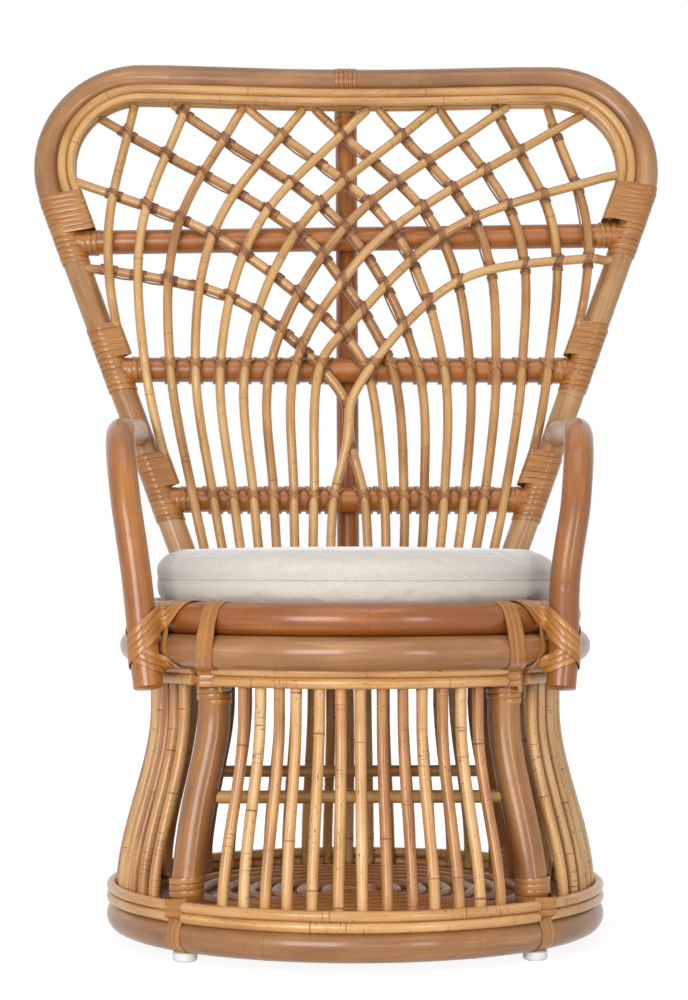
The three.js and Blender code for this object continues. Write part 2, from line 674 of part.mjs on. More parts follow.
const endStops = [
  hoop(innerInset, HOOP_FRONT, hoopR + CLEARANCE),
  hoop(innerInset, rearHoopFront, hoopR + CLEARANCE),
  ...frameBores,
];
for (const [name, side] of Object.entries(sides)) {
  for (let i = 0; i < RODS_PER_SIDE; i += 1) {
    const course = new THREE.CatmullRomCurve3(rodCourse(name, i), false, 'centripetal');
    const flat = course.getSpacedPoints(ROD_STEPS);
    if (i >= LAST_FOOT_RODS) {
      flat.unshift(tiePlace(tieEnds(i)[0]));
    }
    const points = flat.map(({ x, y }) => onBack(-side * x, y, rodDepth(name, i, y)));
    const rod = tube(points, rodR, ROD_SIDES, backFront);
    addPiece(`lattice_${name}_${i + 1}`, cut(rod, endStops), rodFinish);
  }
}

// Bindings: one strip of peel wound in an unbroken helix round a bundle of round poles
function winding(start, axis, across, bundle, strip, turns, steps) {
  const depth = new THREE.Vector3().crossVectors(axis, across);
  const inner = [];
  const outer = [];
  for (let i = 0; i <= turns * steps; i += 1) {
    const angle = (i / steps) * 2 * Math.PI;
    const reach = (core) => core.x * Math.cos(angle) + core.y * Math.sin(angle) + core.radius;
    const core = bundle.reduce((best, next) => (reach(next) > reach(best) ? next : best));
    const radial = new THREE.Vector3();
    radial.addScaledVector(across, Math.cos(angle)).addScaledVector(depth, Math.sin(angle));
    const sideways = core.x + (core.radius + strip.slack) * Math.cos(angle);
    const middle = start.clone().addScaledVector(axis, (i / steps) * strip.pitch - strip.skew * sideways);
    middle.addScaledVector(across, core.x).addScaledVector(depth, core.y);
    inner.push(middle.clone().addScaledVector(radial, core.radius + strip.slack));
    outer.push(middle.clone().addScaledVector(radial, core.radius + strip.slack + strip.thickness));
  }
  console.log('least gap in a binding', leastGap(inner, steps, strip.width));
  const edge = axis.clone().multiplyScalar(strip.width / 2);
  const corners = inner.map((point, i) => [
    point.clone().sub(edge),
    outer[i].clone().sub(edge),
    outer[i].clone().add(edge),
    point.clone().add(edge),
  ]);
  return stripGeometry(corners);
}

// Four corners at each step, joined into one closed strip
function stripGeometry(corners) {
  const count = 4;
  const index = [];
  for (let i = 0; i + 1 < corners.length; i += 1) {
    for (let j = 0; j < count; j += 1) {
      const a = i * count + j;
      const b = i * count + ((j + 1) % count);
      index.push(a, a + count, b, b, a + count, b + count);
    }
  }
  const last = (corners.length - 1) * count;
  index.push(0, 1, 2, 0, 2, 3);
  index.push(last, last + 2, last + 1, last, last + 3, last + 2);
  const geometry = new THREE.BufferGeometry().setFromPoints(corners.flat());
  return geometry.setIndex(index);
}

const peel = {
  width: PEEL_WIDTH,
  thickness: PEEL_THICKNESS,
  pitch: PEEL_PITCH,
  slack: PEEL_SLACK,
  skew: PEEL_SKEW,
};
const pole = { x: 0, y: 0, radius: poleR };
const tiedRods = [{ x: tieInset, y: tieFront, radius: rodR }];
const boundHoops = Object.values(hoopPlaces).map(([x, y]) => ({ x, y, radius: hoopR }));
for (const name of ['lower', 'middle', 'upper']) {
  for (const [sideName, side] of Object.entries(sides)) {
    const height = name === 'upper' ? upperRail(side) : railHeights[name];
    const foot = height + (bindingFoot + PEEL_WIDTH / 2) / Math.cos(lean);
    const start = onBack(side * poleX(foot), foot);
    const axis = onBack(side * poleX(foot + 1), foot + 1).sub(start).normalize();
    const inwards = new THREE.Vector3().crossVectors(backFront, axis).multiplyScalar(side);
    const frontwards = new THREE.Vector3().crossVectors(axis, inwards).dot(backFront);
    const bundle = [pole, ...(name === 'upper' ? boundHoops : tiedRods)];
    const turned = bundle.map((core) => ({ ...core, y: core.y * Math.sign(frontwards) }));
    const strip = winding(start, axis, inwards, turned, peel, PEEL_TURNS, PEEL_STEPS);
    addPiece(`binding_${name}_${sideName}`, strip, peelFinish);
  }
}

const splice = {
  width: SPLICE_WIDTH,
  thickness: SPLICE_THICKNESS,
  pitch: SPLICE_PITCH,
  slack: SPLICE_SLACK,
  skew: 0,
};
const spliceStart = onBack((-SPLICE_TURNS * SPLICE_PITCH) / 2, topHeight);
const alongTop = new THREE.Vector3(1, 0, 0);
addPiece(
  'binding_top',
  winding(spliceStart, alongTop, backUp, [pole], splice, SPLICE_TURNS, SPLICE_STEPS),
  peelFinish,
);

// Stand the chair with its origin under the middle of its box
const box = new THREE.Box3().setFromObject(chair);
chair.position.set(-(box.min.x + box.max.x) / 2, -(box.min.y + box.max.y) / 2, -box.min.z);

export default chair;
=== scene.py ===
# %% [markdown]
# # A rattan peacock chair
# The chair is bent rattan. Thick poles make the frame, thin rods make the lattice and the skirt, and
# flat peel is wound round every joint. The solids that carry the chair are loaded first and never move.
# Each one is then hidden behind a finer piece of the same size, worked out with numpy.

import math

import bpy
import numpy as np
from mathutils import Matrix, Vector


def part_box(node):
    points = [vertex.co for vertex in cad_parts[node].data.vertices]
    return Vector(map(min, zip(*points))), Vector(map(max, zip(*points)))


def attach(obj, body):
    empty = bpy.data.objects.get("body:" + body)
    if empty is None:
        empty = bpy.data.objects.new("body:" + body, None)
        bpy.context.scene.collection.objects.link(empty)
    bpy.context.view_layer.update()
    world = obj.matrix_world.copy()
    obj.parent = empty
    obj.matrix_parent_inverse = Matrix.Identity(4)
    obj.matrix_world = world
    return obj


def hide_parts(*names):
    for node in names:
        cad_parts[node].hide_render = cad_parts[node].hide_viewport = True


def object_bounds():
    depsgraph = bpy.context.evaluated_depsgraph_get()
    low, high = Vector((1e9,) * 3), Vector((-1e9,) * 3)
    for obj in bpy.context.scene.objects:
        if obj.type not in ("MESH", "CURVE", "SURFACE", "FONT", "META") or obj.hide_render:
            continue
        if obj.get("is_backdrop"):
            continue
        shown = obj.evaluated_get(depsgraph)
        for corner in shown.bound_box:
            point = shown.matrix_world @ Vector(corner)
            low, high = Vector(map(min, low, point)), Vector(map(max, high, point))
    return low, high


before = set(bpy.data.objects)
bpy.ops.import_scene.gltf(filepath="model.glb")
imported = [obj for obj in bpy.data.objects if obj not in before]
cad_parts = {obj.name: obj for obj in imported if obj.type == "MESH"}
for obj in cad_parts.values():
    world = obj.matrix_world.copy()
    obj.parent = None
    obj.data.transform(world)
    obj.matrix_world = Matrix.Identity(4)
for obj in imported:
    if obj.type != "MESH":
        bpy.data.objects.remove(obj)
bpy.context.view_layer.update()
rng = np.random.default_rng(29)
print("solids loaded:", len(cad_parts))

# %% [markdown]
# ## The three rings set the scale
# The base ring and the two seat rings are plain circles, so their sizes can be read off their boxes.
# Everything else is worked out about the middle of the base ring and moved there when it becomes a mesh.


# %% Read the rings
def ring_sizes(node):
    """(ring radius, pole radius, height of the middle) of a ring, from the box of its solid."""
    low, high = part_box(node)
    pole = (high.z - low.z) / 2
    return (high.x - low.x) / 2 - pole, pole, (high.z + low.z) / 2


base_radius, base_pole, base_height = ring_sizes("base_ring")
seat_radius, seat_pole, seat_height = ring_sizes("seat_ring_lower")
upper_radius, upper_pole, upper_height = ring_sizes("seat_ring_upper")
base_low, base_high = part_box("base_ring")
MIDDLE = np.array([(base_low.x + base_high.x) / 2, (base_low.y + base_high.y) / 2, 0.0])
UP = np.array([0.0, 0.0, 1.0])
print("base ring", round(base_radius, 4), "seat rings", round(seat_radius, 4), round(upper_radius, 4))

# %% [markdown]
# ## Paths
# A rod is a round section carried along a path. Paths are arrays of points, close enough together
# that straight steps between them do not show. A spline through a few points gives the bent ones.


# %% Path helpers
def unit(vectors):
    """The same directions with length one."""
    return vectors / np.linalg.norm(vectors, axis=-1, keepdims=True)


def lengths(path):
    """Length along the path at each of its points."""
    return np.concatenate([[0.0], np.cumsum(np.linalg.norm(np.diff(path, axis=0), axis=1))])


def at_lengths(path, marks):
    """Points of the path at the given lengths along it."""
    so_far = lengths(path)
    return np.stack([np.interp(marks, so_far, path[:, k]) for k in range(3)], axis=1)


def evenly(path, step):
    """The path again, with points about one step apart."""
    total = lengths(path)[-1]
    return at_lengths(path, np.linspace(0, total, max(2, round(total / step) + 1)))


def straight(start, end):
    """A straight path between two points."""
    return evenly(np.array([start, end], float), 0.01)


def bent_through(points, per_span=24):
    """A centripetal Catmull-Rom spline: a cubic over each span, whose slope at a point comes from
    the spans on both sides of it, weighted by the root of their lengths."""
    p = np.asarray(points, float)
    p = np.vstack([2 * p[0] - p[1], p, 2 * p[-1] - p[-2]])
    gap = np.sqrt(np.linalg.norm(np.diff(p, axis=0), axis=1))
    t = np.linspace(0, 1, per_span, endpoint=False)[:, None]
    spans = []
    for i in range(1, len(p) - 2):
        a, b, c, d = p[i - 1 : i + 3]
        before, here, after = gap[i - 1 : i + 2]
        leave = ((b - a) / before - (c - a) / (before + here) + (c - b) / here) * here
        arrive = ((c - b) / here - (d - b) / (here + after) + (d - c) / after) * here
        ease = 3 * t**2 - 2 * t**3
        spans.append((1 - ease) * b + ease * c + (t**3 - 2 * t**2 + t) * leave + (t**3 - t**2) * arrive)
    return np.vstack([*spans, p[-2]])


def smoothstep(value, low, high):
    """0 below low, 1 above high, and a smooth rise between them."""
    t = np.clip((value - low) / (high - low), 0, 1)
    return t * t * (3 - 2 * t)


def mix(a, b, share):
    """The value that lies that share of the way from a to b."""
    return a + (b - a) * share


def full_turn(count):
    """Angles all the way round, evenly apart."""
    return np.linspace(0, 2 * np.pi, count, endpoint=False)


def circling(angle, first, second):
    """Directions that turn from the first way to the second: first cos a + second sin a."""
    return np.outer(np.cos(angle), first) + np.outer(np.sin(angle), second)


def on_circle(radius, angle, height):
    """Points at an angle round the chair's middle, with a radius and a height."""
    radius, angle, height = np.broadcast_arrays(radius, angle, height)
    return np.stack([radius * np.cos(angle), radius * np.sin(angle), height], axis=-1).astype(float)


# %% [markdown]
# ## From a path to a skin
# A skin is a grid of points: stations along the path, and points round the section at each station.
# Neighbouring points make quads, and a fan closes each end. Every point also keeps three values for
# the materials: its place in the grain, how strongly it is marked, and the tone of its stick. On a few
# sticks the tone also holds painted light and shade.


# %% Skins
def skin(grid, grain, mark, tone):
    """A closed skin over a grid of stations by section points, with a fan of triangles on each end.
    The mark and the tone may be one number for all points."""
    stations, around = grid.shape[:2]
    index = np.arange(stations * around).reshape(stations, around)
    beside = np.roll(index, -1, axis=1)
    quads = np.stack([index[:-1], beside[:-1], beside[1:], index[1:]], axis=-1).reshape(-1, 4)
    first = np.full(around, index.size)
    start_fan = np.stack([first, beside[0], index[0]], axis=1)
    end_fan = np.stack([first + 1, index[-1], beside[-1]], axis=1)

    def with_ends(values):
        rows = values.reshape(stations, around, -1)
        return np.vstack([rows.reshape(stations * around, -1), rows[0].mean(0), rows[-1].mean(0)])

    return {
        "points": with_ends(grid),
        "quads": quads,
        "tris": np.vstack([start_fan, end_fan]),
        "grain": with_ends(grain),
        "mark": with_ends(np.broadcast_to(mark, (stations, around)))[:, 0],
        "tone": with_ends(np.broadcast_to(tone, (stations, around)))[:, 0],
    }


def directions(path, facing):
    """At each point of a path: the way to `facing` made square to the path, and the way square to both."""
    along = unit(np.gradient(path, axis=0))
    side = unit(facing - np.sum(along * facing, axis=1, keepdims=True) * along)
    return side, np.cross(along, side)


# %% [markdown]
# ## A stick of rattan
# Rattan grows like a vine, with a joint every hand or two where a leaf sat. At a joint the stick swells
# a little round a thin dark groove. A thin rod shows this clearly, and a thick sanded pole hardly at all.
# Stations are packed close round each joint, so the groove is real and not only painted.

# %% Rattan sticks
POLE_STOCK = {"sides": 22, "step": 0.012, "gap": 0.30, "swell": 0.014, "groove": 0.012, "mark": 0.55}
SKIRT_STOCK = {"sides": 12, "step": 0.007, "gap": 0.20, "swell": 0.07, "groove": 0.12, "mark": 1.3}
ROD_STOCK = {"sides": 12, "step": 0.007, "gap": 0.26, "swell": 0.055, "groove": 0.08, "mark": 0.9}
JOINT_PLACES = np.array([-6, -3.5, -1.8, -0.9, -0.4, 0, 0.4, 0.9, 1.8, 3.5, 6]) * 0.001
JOINT_SWELL_REACH = 0.004
JOINT_GROOVE_REACH = 0.0008
JOINT_SPREAD = (0.7, 1.3)  # gaps between joints, as shares of the usual gap
JOINT_CLEAR = 0.012  # no joint is nearer to a cut end
GROOVE_CLEARNESS = (0.35, 1.0)
EDGE = 0.0012  # rounding of a cut end
EDGE_DRAW = 0.16  # share of the radius that it takes off
GRAIN_LENGTH = 40  # each stick is cut from another place along this much grain


def rattan(path, radius, stock, facing, tone, fade=0.0):
    """A round section carried along a path. Its radius rises by a bell curve at each joint and falls
    by a narrower one in the groove there, and it draws in over the rounding of both cut ends. The
    tone changes evenly by the fade from its start to its end."""
    total = lengths(path)[-1]
    gaps = stock["gap"] * rng.uniform(*JOINT_SPREAD, int(total / stock["gap"] / JOINT_SPREAD[0]) + 2)
    joints = np.cumsum(gaps) - gaps[0] * rng.uniform(0.1, 0.9)
    joints = joints[(joints > JOINT_CLEAR) & (joints < total - JOINT_CLEAR)]
    even = np.linspace(0, total, max(3, round(total / stock["step"])))
    near_joints = (joints[:, None] + JOINT_PLACES).ravel()
    marks = np.concatenate([even, near_joints, [EDGE, total - EDGE]])
    marks = np.unique(np.clip(marks, 0, total).round(5))
    from_joints = np.abs(marks[:, None] - np.append(joints, -1.0))
    away = from_joints.min(axis=1)
    clearness = rng.uniform(*GROOVE_CLEARNESS, len(joints) + 1)[from_joints.argmin(axis=1)]
    groove = clearness * np.exp(-((away / JOINT_GROOVE_REACH) ** 2))
    swell = stock["swell"] * np.exp(-((away / JOINT_SWELL_REACH) ** 2)) - stock["groove"] * groove
    cut = EDGE_DRAW * (1 - np.clip(np.minimum(marks, total - marks) / EDGE, 0, 1))
    radii = radius * (1 + swell - cut)
    points = at_lengths(path, marks)
    side, third = directions(points, np.asarray(facing, float))
    turn = full_turn(stock["sides"])
    spokes = np.cos(turn)[None, :, None] * side[:, None] + np.sin(turn)[None, :, None] * third[:, None]
    grid = points[:, None] + radii[:, None, None] * spokes
    so_far = rng.uniform(0, GRAIN_LENGTH) + marks[:, None]
    grain = np.broadcast_arrays(so_far, radius * np.cos(turn), radius * np.sin(turn))
    mark = stock["mark"] * groove[:, None]
    return skin(grid, np.stack(grain, axis=-1), mark, tone + fade * marks[:, None] / total)


# %% [markdown]
# ## A strip of peel
# Peel is the flat outer skin of the rattan, split off and wound wet. Its section is flat below and
# crowned above. A winding follows the outside of whatever it binds: at each angle it lies on the pole
# that reaches furthest that way, and goes straight across from one pole to the next.

# %% Peel strips
PEEL_ACROSS = np.array([-0.5, -0.48, -0.36, 0.0, 0.36, 0.48, 0.5])
PEEL_RISE = np.array([0.0, 0.7, 0.95, 1.0, 0.95, 0.7, 0.0])
WIDE = {"width": 0.0081, "thickness": 0.0012, "pitch": 0.0079}
MEDIUM = {"width": 0.0072, "thickness": 0.0011, "pitch": 0.0071}
NARROW = {"width": 0.0036, "thickness": 0.0012, "pitch": 0.0033}
# the edges of each strip are drawn darker than its middle
EDGE_DARKENING = 0.55  # how strongly the edges of a strip are marked
TURN_DRIFT = 0.07  # unevenness of the turns, as a share of the pitch
TURN_STAND = 0.3  # how far a turn may stand off, as a share of the thickness
TURN_TUCK = 0.12  # part of a turn over which an end tucks under


def peel(path, outward, strip, tone):
    """The peel's section carried along a path on the surface that it binds, crowned outwards."""
    outward, across = directions(path, outward)
    wide = strip["width"] * PEEL_ACROSS
    high = strip["thickness"] * PEEL_RISE
    grid = path[:, None] + across[:, None] * wide[:, None] + outward[:, None] * high[:, None]
    grain = np.broadcast_arrays(rng.uniform(0, GRAIN_LENGTH) + lengths(path)[:, None], wide, high)
    return skin(grid, np.stack(grain, axis=-1), EDGE_DARKENING * np.abs(2 * PEEL_ACROSS) ** 6, tone)


def winding(start, axis, across, bundle, strip, turns, steps=32, from_turn=0.0, tone=0.0, skew=0.0):
    """A strip wound round a bundle of poles. At angle a it lies on the pole for which
    x cos a + y sin a + radius is greatest, and it climbs one pitch a turn. A skew lowers it by that
    share of the way across, so that turns on a leaning pole can lie level. Both ends tuck under."""
    axis, across = unit(np.asarray(axis, float)), unit(np.asarray(across, float))
    depth = np.cross(axis, across)
    turn = 2 * np.pi * np.linspace(from_turn, from_turn + turns, round(turns * steps) + 1)
    done = np.linspace(0, turns, len(turn))
    bundle = np.asarray(bundle, float)
    reach = np.outer(np.cos(turn), bundle[:, 0]) + np.outer(np.sin(turn), bundle[:, 1]) + bundle[:, 2]
    x, y, radius = bundle[reach.argmax(axis=1)].T
    outward = circling(turn, across, depth)
    whole = np.arange(int(turns) + 3)
    drift = np.interp(done, whole, rng.normal(0, TURN_DRIFT * strip["pitch"], len(whole)))
    stand = np.interp(done, whole, rng.uniform(0, TURN_STAND * strip["thickness"], len(whole)))
    tuck = strip["thickness"] * (1 - np.clip(np.minimum(done, turns - done) / TURN_TUCK, 0, 1))
    out = radius + stand - tuck
    sideways = x + out * np.cos(turn)
    path = start + np.outer(strip["pitch"] * done + drift - skew * sideways, axis)
    path = path + np.outer(sideways, across) + np.outer(y + out * np.sin(turn), depth)
    return peel(path, outward, strip, tone)


# %% [markdown]
# ## Strips pulled tight
# A lashing that crosses several poles is laid roughly first and then pulled tight. Every point moves to
# the middle of its neighbours, and any point that has sunk into a pole is moved out to its surface.
# After a few rounds the strip hugs the poles and runs straight between them.

# %% Tight strips
SEATED = 0.0002  # a strip's underside clears the poles by this much
SETTLING = 6  # rounds for a strip that lies beside one already tight
POLES_WITHIN = 0.05  # parts of the poles further from the strip are left out
STRIP_STEP = 0.003


def pulled_tight(path, poles, lift, passes):
    """(path, way outwards) of a strip after smoothing and moving out of the poles, in turn. Poles are
    pairs: points along the middle, close together, and a radius."""
    middles = np.vstack([points for points, _ in poles])
    radii = np.concatenate([np.full(len(points), radius) for points, radius in poles])
    reach = np.linalg.norm(path - path.mean(axis=0), axis=1).max() + POLES_WITHIN
    near = np.linalg.norm(middles - path.mean(axis=0), axis=1) < reach
    middles, radii = middles[near], radii[near]
    path = path.copy()
    for _ in range(passes):
        path[1:-1] = path[1:-1] / 2 + (path[:-2] + path[2:]) / 4
        away = path[:, None] - middles[None]
        gap = np.linalg.norm(away, axis=2) - radii
        nearest = gap.argmin(axis=1)
        each = np.arange(len(path))
        outward = unit(away[each, nearest])
        path = path + outward * np.maximum(0, lift - gap[each, nearest])[:, None]
    for _ in range(4):
        outward[1:-1] = unit(outward[:-2] + 2 * outward[1:-1] + outward[2:])
    return path, outward


def band(guide, poles, strip, count, lift=SEATED, passes=24, tone_spread=0.06):
    """Strips side by side along a guide that is bent smooth and pulled tight over the poles."""
    path, outward = pulled_tight(evenly(bent_through(guide, 10), STRIP_STEP), poles, lift, passes)
    _, across = directions(path, outward)
    strips = []
    for k in range(count):
        shift = (k - (count - 1) / 2) * strip["pitch"]
        beside, out = pulled_tight(path + across * shift, poles, lift, SETTLING)
        strips.append(peel(beside, out, strip, float(rng.uniform(-tone_spread, tone_spread))))
    return strips


# %% [markdown]
# ## Finishes
# Rattan has fine fibres along its length, softer patches where the skin was sanded, a few short dark
# scratches across it and small flecks. All of it is noise stretched along the grain that each point
# carries, so it follows every bend. Varnish is a thin coat on top. The colours are written as they
# look in plain light.


# %% Node helpers
def colour(red, green, blue):
    """A colour written in the 0 to 255 steps of a screen, as the linear values that shaders use."""
    steps = np.array([red, green, blue]) / 255
    low, high = steps / 12.92, ((steps + 0.055) / 1.055) ** 2.4
    return (*np.where(steps <= 0.04045, low, high), 1.0)


def add(tree, kind, **settings):
    """A new node of the kind, with its properties set, or its inputs where the name is an input's."""
    made = tree.nodes.new("ShaderNode" + kind)
    for name, value in settings.items():
        if hasattr(made, name):
            setattr(made, name, value)
        else:
            made.inputs[name.replace("_", " ").title()].default_value = value
    return made


def link(output, taken):
    """Leads an output of one node to an input of another in the same tree."""
    output.id_data.links.new(output, taken)


def stretched_noise(source, scale, detail):
    """Noise on the source vector, stretched by a different scale along each of its axes."""
    mapping = add(source.id_data, "Mapping", scale=scale)
    link(source, mapping.inputs["Vector"])
    noise = add(source.id_data, "TexNoise", scale=1.0, detail=detail, roughness=0.6)
    link(mapping.outputs["Vector"], noise.inputs["Vector"])
    return noise.outputs["Fac"]


def ranged(source, low, high, to_low=0.0, to_high=1.0):
    """The source value, moved from one range to another and held inside it."""
    made = add(source.id_data, "MapRange")
    link(source, made.inputs["Value"])
    for name, value in zip(("From Min", "From Max", "To Min", "To Max"), (low, high, to_low, to_high)):
        made.inputs[name].default_value = value
    return made.outputs["Result"]


def combined(operation, first, second):
    """Two values put together by a math operation. The second may be a plain number."""
    made = add(first.id_data, "Math", operation=operation)
    link(first, made.inputs[0])
    if isinstance(second, float):
        made.inputs[1].default_value = second
    else:
        link(second, made.inputs[1])
    return made.outputs[0]


def times(first, second):
    """One value times another, or times a plain number."""
    return combined("MULTIPLY", first, second)


def plus(first, second):
    """One value plus another, or plus a plain number."""
    return combined("ADD", first, second)


def shaded(level, places, shades):
    """A colour for each level: the shades at their places, and blends between them."""
    ramp = add(level.id_data, "ValToRGB")
    stops = ramp.color_ramp.elements
    stops[0].position, stops[1].position = places[0], places[-1]
    for place in places[1:-1]:
        stops.new(place)
    for stop, shade in zip(stops, shades):
        stop.color = colour(*shade)
    link(level, ramp.inputs["Fac"])
    return ramp.outputs["Color"]


def bumped(shader, height, strength, distance):
    """Bumps on the shader's surface that follow a value."""
    bump = add(height.id_data, "Bump", strength=strength, distance=distance)
    link(height, bump.inputs["Height"])
    link(bump.outputs["Normal"], shader.inputs["Normal"])


def blank(name):
    """A new material with one surface shader: (material, tree, shader)."""
    material = bpy.data.materials.new(name)
    material.use_nodes = True
    tree = material.node_tree
    return material, tree, tree.nodes["Principled BSDF"]


def attribute(tree, name, output="Fac"):
    """A value that each point of the piece carries."""
    return add(tree, "Attribute", attribute_name=name).outputs[output]


# %% Rattan and peel finishes
def rattan_finish(name, shades, dark, gloss, fibre_size, scratches, flecks):
    """Fibres, patches, scratches and flecks, coloured from dark to light shades, under a varnish."""
    material, tree, shader = blank(name)
    grain = attribute(tree, "grain", "Vector")
    fibre = stretched_noise(grain, (7, 330 * fibre_size, 330 * fibre_size), 3)
    patch = stretched_noise(grain, (9, 34, 34), 2)
    scratch = ranged(stretched_noise(grain, (480, 55, 55), 1), 0.60, 0.72)
    where = ranged(stretched_noise(grain, (11, 25, 25), 1), 0.52, 0.66)
    fleck = ranged(stretched_noise(grain, (130, 420, 420), 1), 0.69, 0.76)
    level = plus(plus(times(patch, 0.6), times(fibre, 0.4)), attribute(tree, "tone"))
    mark_level = plus(times(times(scratch, where), scratches), times(fleck, flecks))
    mark_level = plus(mark_level, times(attribute(tree, "mark"), 0.75))
    mark_mix = add(tree, "Mix", data_type="RGBA", clamp_factor=True)
    link(mark_level, mark_mix.inputs["Factor"])
    link(shaded(level, (0.30, 0.5, 0.72), shades), mark_mix.inputs[6])
    mark_mix.inputs[7].default_value = colour(*dark)
    link(mark_mix.outputs[2], shader.inputs["Base Color"])
    link(ranged(fibre, 0.3, 0.7, gloss, gloss + 0.12), shader.inputs["Roughness"])
    bumped(shader, fibre, 0.22, 0.0004)
    shader.inputs["Specular IOR Level"].default_value = 0.38
    shader.inputs["Coat Weight"].default_value = 0.5
    shader.inputs["Coat Roughness"].default_value = 0.16
    return material


FINISHES = {  # shades from dark to light, colour of the marks, roughness, fibres, scratches, flecks
    "sanded_pole": ((142, 83, 33), (175, 111, 49), (196, 134, 66), (104, 60, 30), 0.31, 0.6, 0.3, 0.3),
    "weathered_pole": ((133, 88, 48), (161, 112, 67), (200, 155, 106), (98, 60, 36), 0.42, 0.6, 0.35, 0.4),
    "dull_pole": ((132, 83, 38), (161, 108, 57), (184, 133, 78), (92, 54, 28), 0.46, 0.6, 0.4, 0.5),
    "honey_rod": ((160, 106, 56), (203, 154, 92), (224, 183, 122), (88, 48, 20), 0.33, 1.2, 0.6, 0.5),
    "spotted_rod": ((164, 104, 54), (205, 152, 90), (226, 186, 128), (96, 50, 22), 0.36, 1.0, 1.0, 0.9),
    "reddish_pole": ((141, 77, 27), (171, 101, 41), (191, 124, 58), (96, 52, 24), 0.35, 0.6, 0.25, 0.25),
    "wound_peel": ((149, 89, 33), (177, 117, 52), (197, 141, 73), (112, 60, 22), 0.35, 1.6, 0.15, 0.15),
    "thin_tie": ((140, 86, 42), (174, 118, 64), (198, 148, 92), (92, 50, 22), 0.40, 1.6, 0.2, 0.2),
    "brown_lashing": ((114, 66, 30), (146, 92, 48), (172, 118, 68), (76, 42, 18), 0.42, 1.6, 0.2, 0.2),
}
finishes = [rattan_finish(name, recipe[:3], *recipe[3:]) for name, recipe in FINISHES.items()]
pole_finish, frame_finish, leg_finish, rod_finish, skirt_finish = finishes[:5]
rail_finish, peel_finish, tie_finish, lashing_finish = finishes[5:]
print("rattan finishes:", [finish.name for finish in finishes])

# %% [markdown]
# ## Pieces
# A piece gathers its skins into one mesh, takes a finish, rides on the body that carries it and stands
# for the solids behind it.

# %% Making a piece
SHARP_ANGLE = math.radians(42)
made_pieces = []


def make_piece(name, skins, finish, nodes=(), body="chair"):
    """One mesh from several skins, placed about the chair's middle, in the frame of the solids."""
    first = np.cumsum([0] + [len(s["points"]) for s in skins[:-1]])
    points = np.vstack([s["points"] for s in skins]) + MIDDLE
    quads = np.vstack([s["quads"] + n for s, n in zip(skins, first)])
    tris = np.vstack([s["tris"] + n for s, n in zip(skins, first)])
    mesh = bpy.data.meshes.new(name)
    mesh.vertices.add(len(points))
    mesh.vertices.foreach_set("co", points.astype(np.float32).ravel())
    corners = np.concatenate([quads.ravel(), tris.ravel()]).astype(np.int32)
    mesh.loops.add(len(corners))
    mesh.loops.foreach_set("vertex_index", corners)
    starts = np.concatenate([4 * np.arange(len(quads)), quads.size + 3 * np.arange(len(tris))])
    mesh.polygons.add(len(starts))
    mesh.polygons.foreach_set("loop_start", starts.astype(np.int32))
    mesh.update(calc_edges=True)
    grain = mesh.attributes.new("grain", "FLOAT_VECTOR", "POINT")
    grain.data.foreach_set("vector", np.vstack([s["grain"] for s in skins]).astype(np.float32).ravel())
    for key in ("mark", "tone"):
        values = np.concatenate([s[key] for s in skins]).astype(np.float32)
        mesh.attributes.new(key, "FLOAT", "POINT").data.foreach_set("value", values)
    mesh.shade_smooth()
    mesh.set_sharp_from_angle(angle=SHARP_ANGLE)
    mesh.materials.append(finish)
    piece = bpy.data.objects.new(name, mesh)
    bpy.context.scene.collection.objects.link(piece)
    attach(piece, body)
    if nodes:
        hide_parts(*nodes)
    made_pieces.append((name, 2 * len(quads) + len(tris)))
    return piece


def dress(node, skins, finish, body="chair"):
    """A piece that stands for one solid and is named after it."""
    return make_piece("dressed_" + node, skins, finish, [node], body)


def tone(spread):
    """How much paler or darker than its neighbours one stick is."""
    return float(rng.uniform(-spread, spread))


# %% [markdown]
# ## Base and seat rings
# Each ring is one pole bent until its ends meet, so it is a stick with a butt joint. The joint is
# turned to the back, where a maker hides it.


# %% Rings
def ring_path(radius, height, joint_at, gap=0.0004, samples=240):
    """A circle that starts and ends at one angle, with a hair of a gap between its ends."""
    half = gap / radius / 2
    angle = np.linspace(joint_at + half, joint_at + 2 * np.pi - half, samples)
    return on_circle(radius, angle, height)


# the upper ring is darker: partly its own reddish colour, partly painted shade under the cushion's edge
for node, joint_at, finish, paler in (
    ("base_ring", 1.9, frame_finish, -0.03),
    ("seat_ring_lower", 1.2, frame_finish, -0.03),
    ("seat_ring_upper", 1.75, rail_finish, -0.22),
):
    radius, pole, height = ring_sizes(node)
    stick = rattan(ring_path(radius, height, joint_at), pole, POLE_STOCK, UP, tone(0.03) + paler)
    dress(node, [stick], finish)
print(made_pieces[-3:])

# %% [markdown]
# ## Legs, spindles and the skirt's hoops
# Legs and spindles swing inwards between two heights, like a bell. One smooth rise from 0 to 1 gives
# both curves. The skirt's hoops stop on either side of each leg, where peel is wound round the leg.

# %% Sizes of the base
LEG_R = 0.019
HOOP_R = 0.006
SPINDLE_R = 0.0065
STRETCHER_R = 0.0075
FIT = 0.0003  # between pieces that touch
LEG_FIT = 0.0009
COPE = 0.6  # a butted end stops at this share of the other pole's radius from its middle
NAILED = 0.001  # how far nailed rods run into each other
SNUG = 1.05  # paired hoops press together
FLARE = (0.060, 0.275)
LEG_REACH = 0.028
STRETCHER_HEIGHT = 0.182
SPINDLES_PER_PANEL = 13
SPINDLE_MARGIN = math.radians(11.4)
LEG_TURN = math.radians(47.5)  # from the front or the back to a leg
CORNERS = {"rear_right": (1, 1), "rear_left": (-1, 1), "front_left": (-1, -1), "front_right": (1, -1)}
PANEL_ANGLES = {"rear": 90, "left": 180, "front": 270, "right": 0}

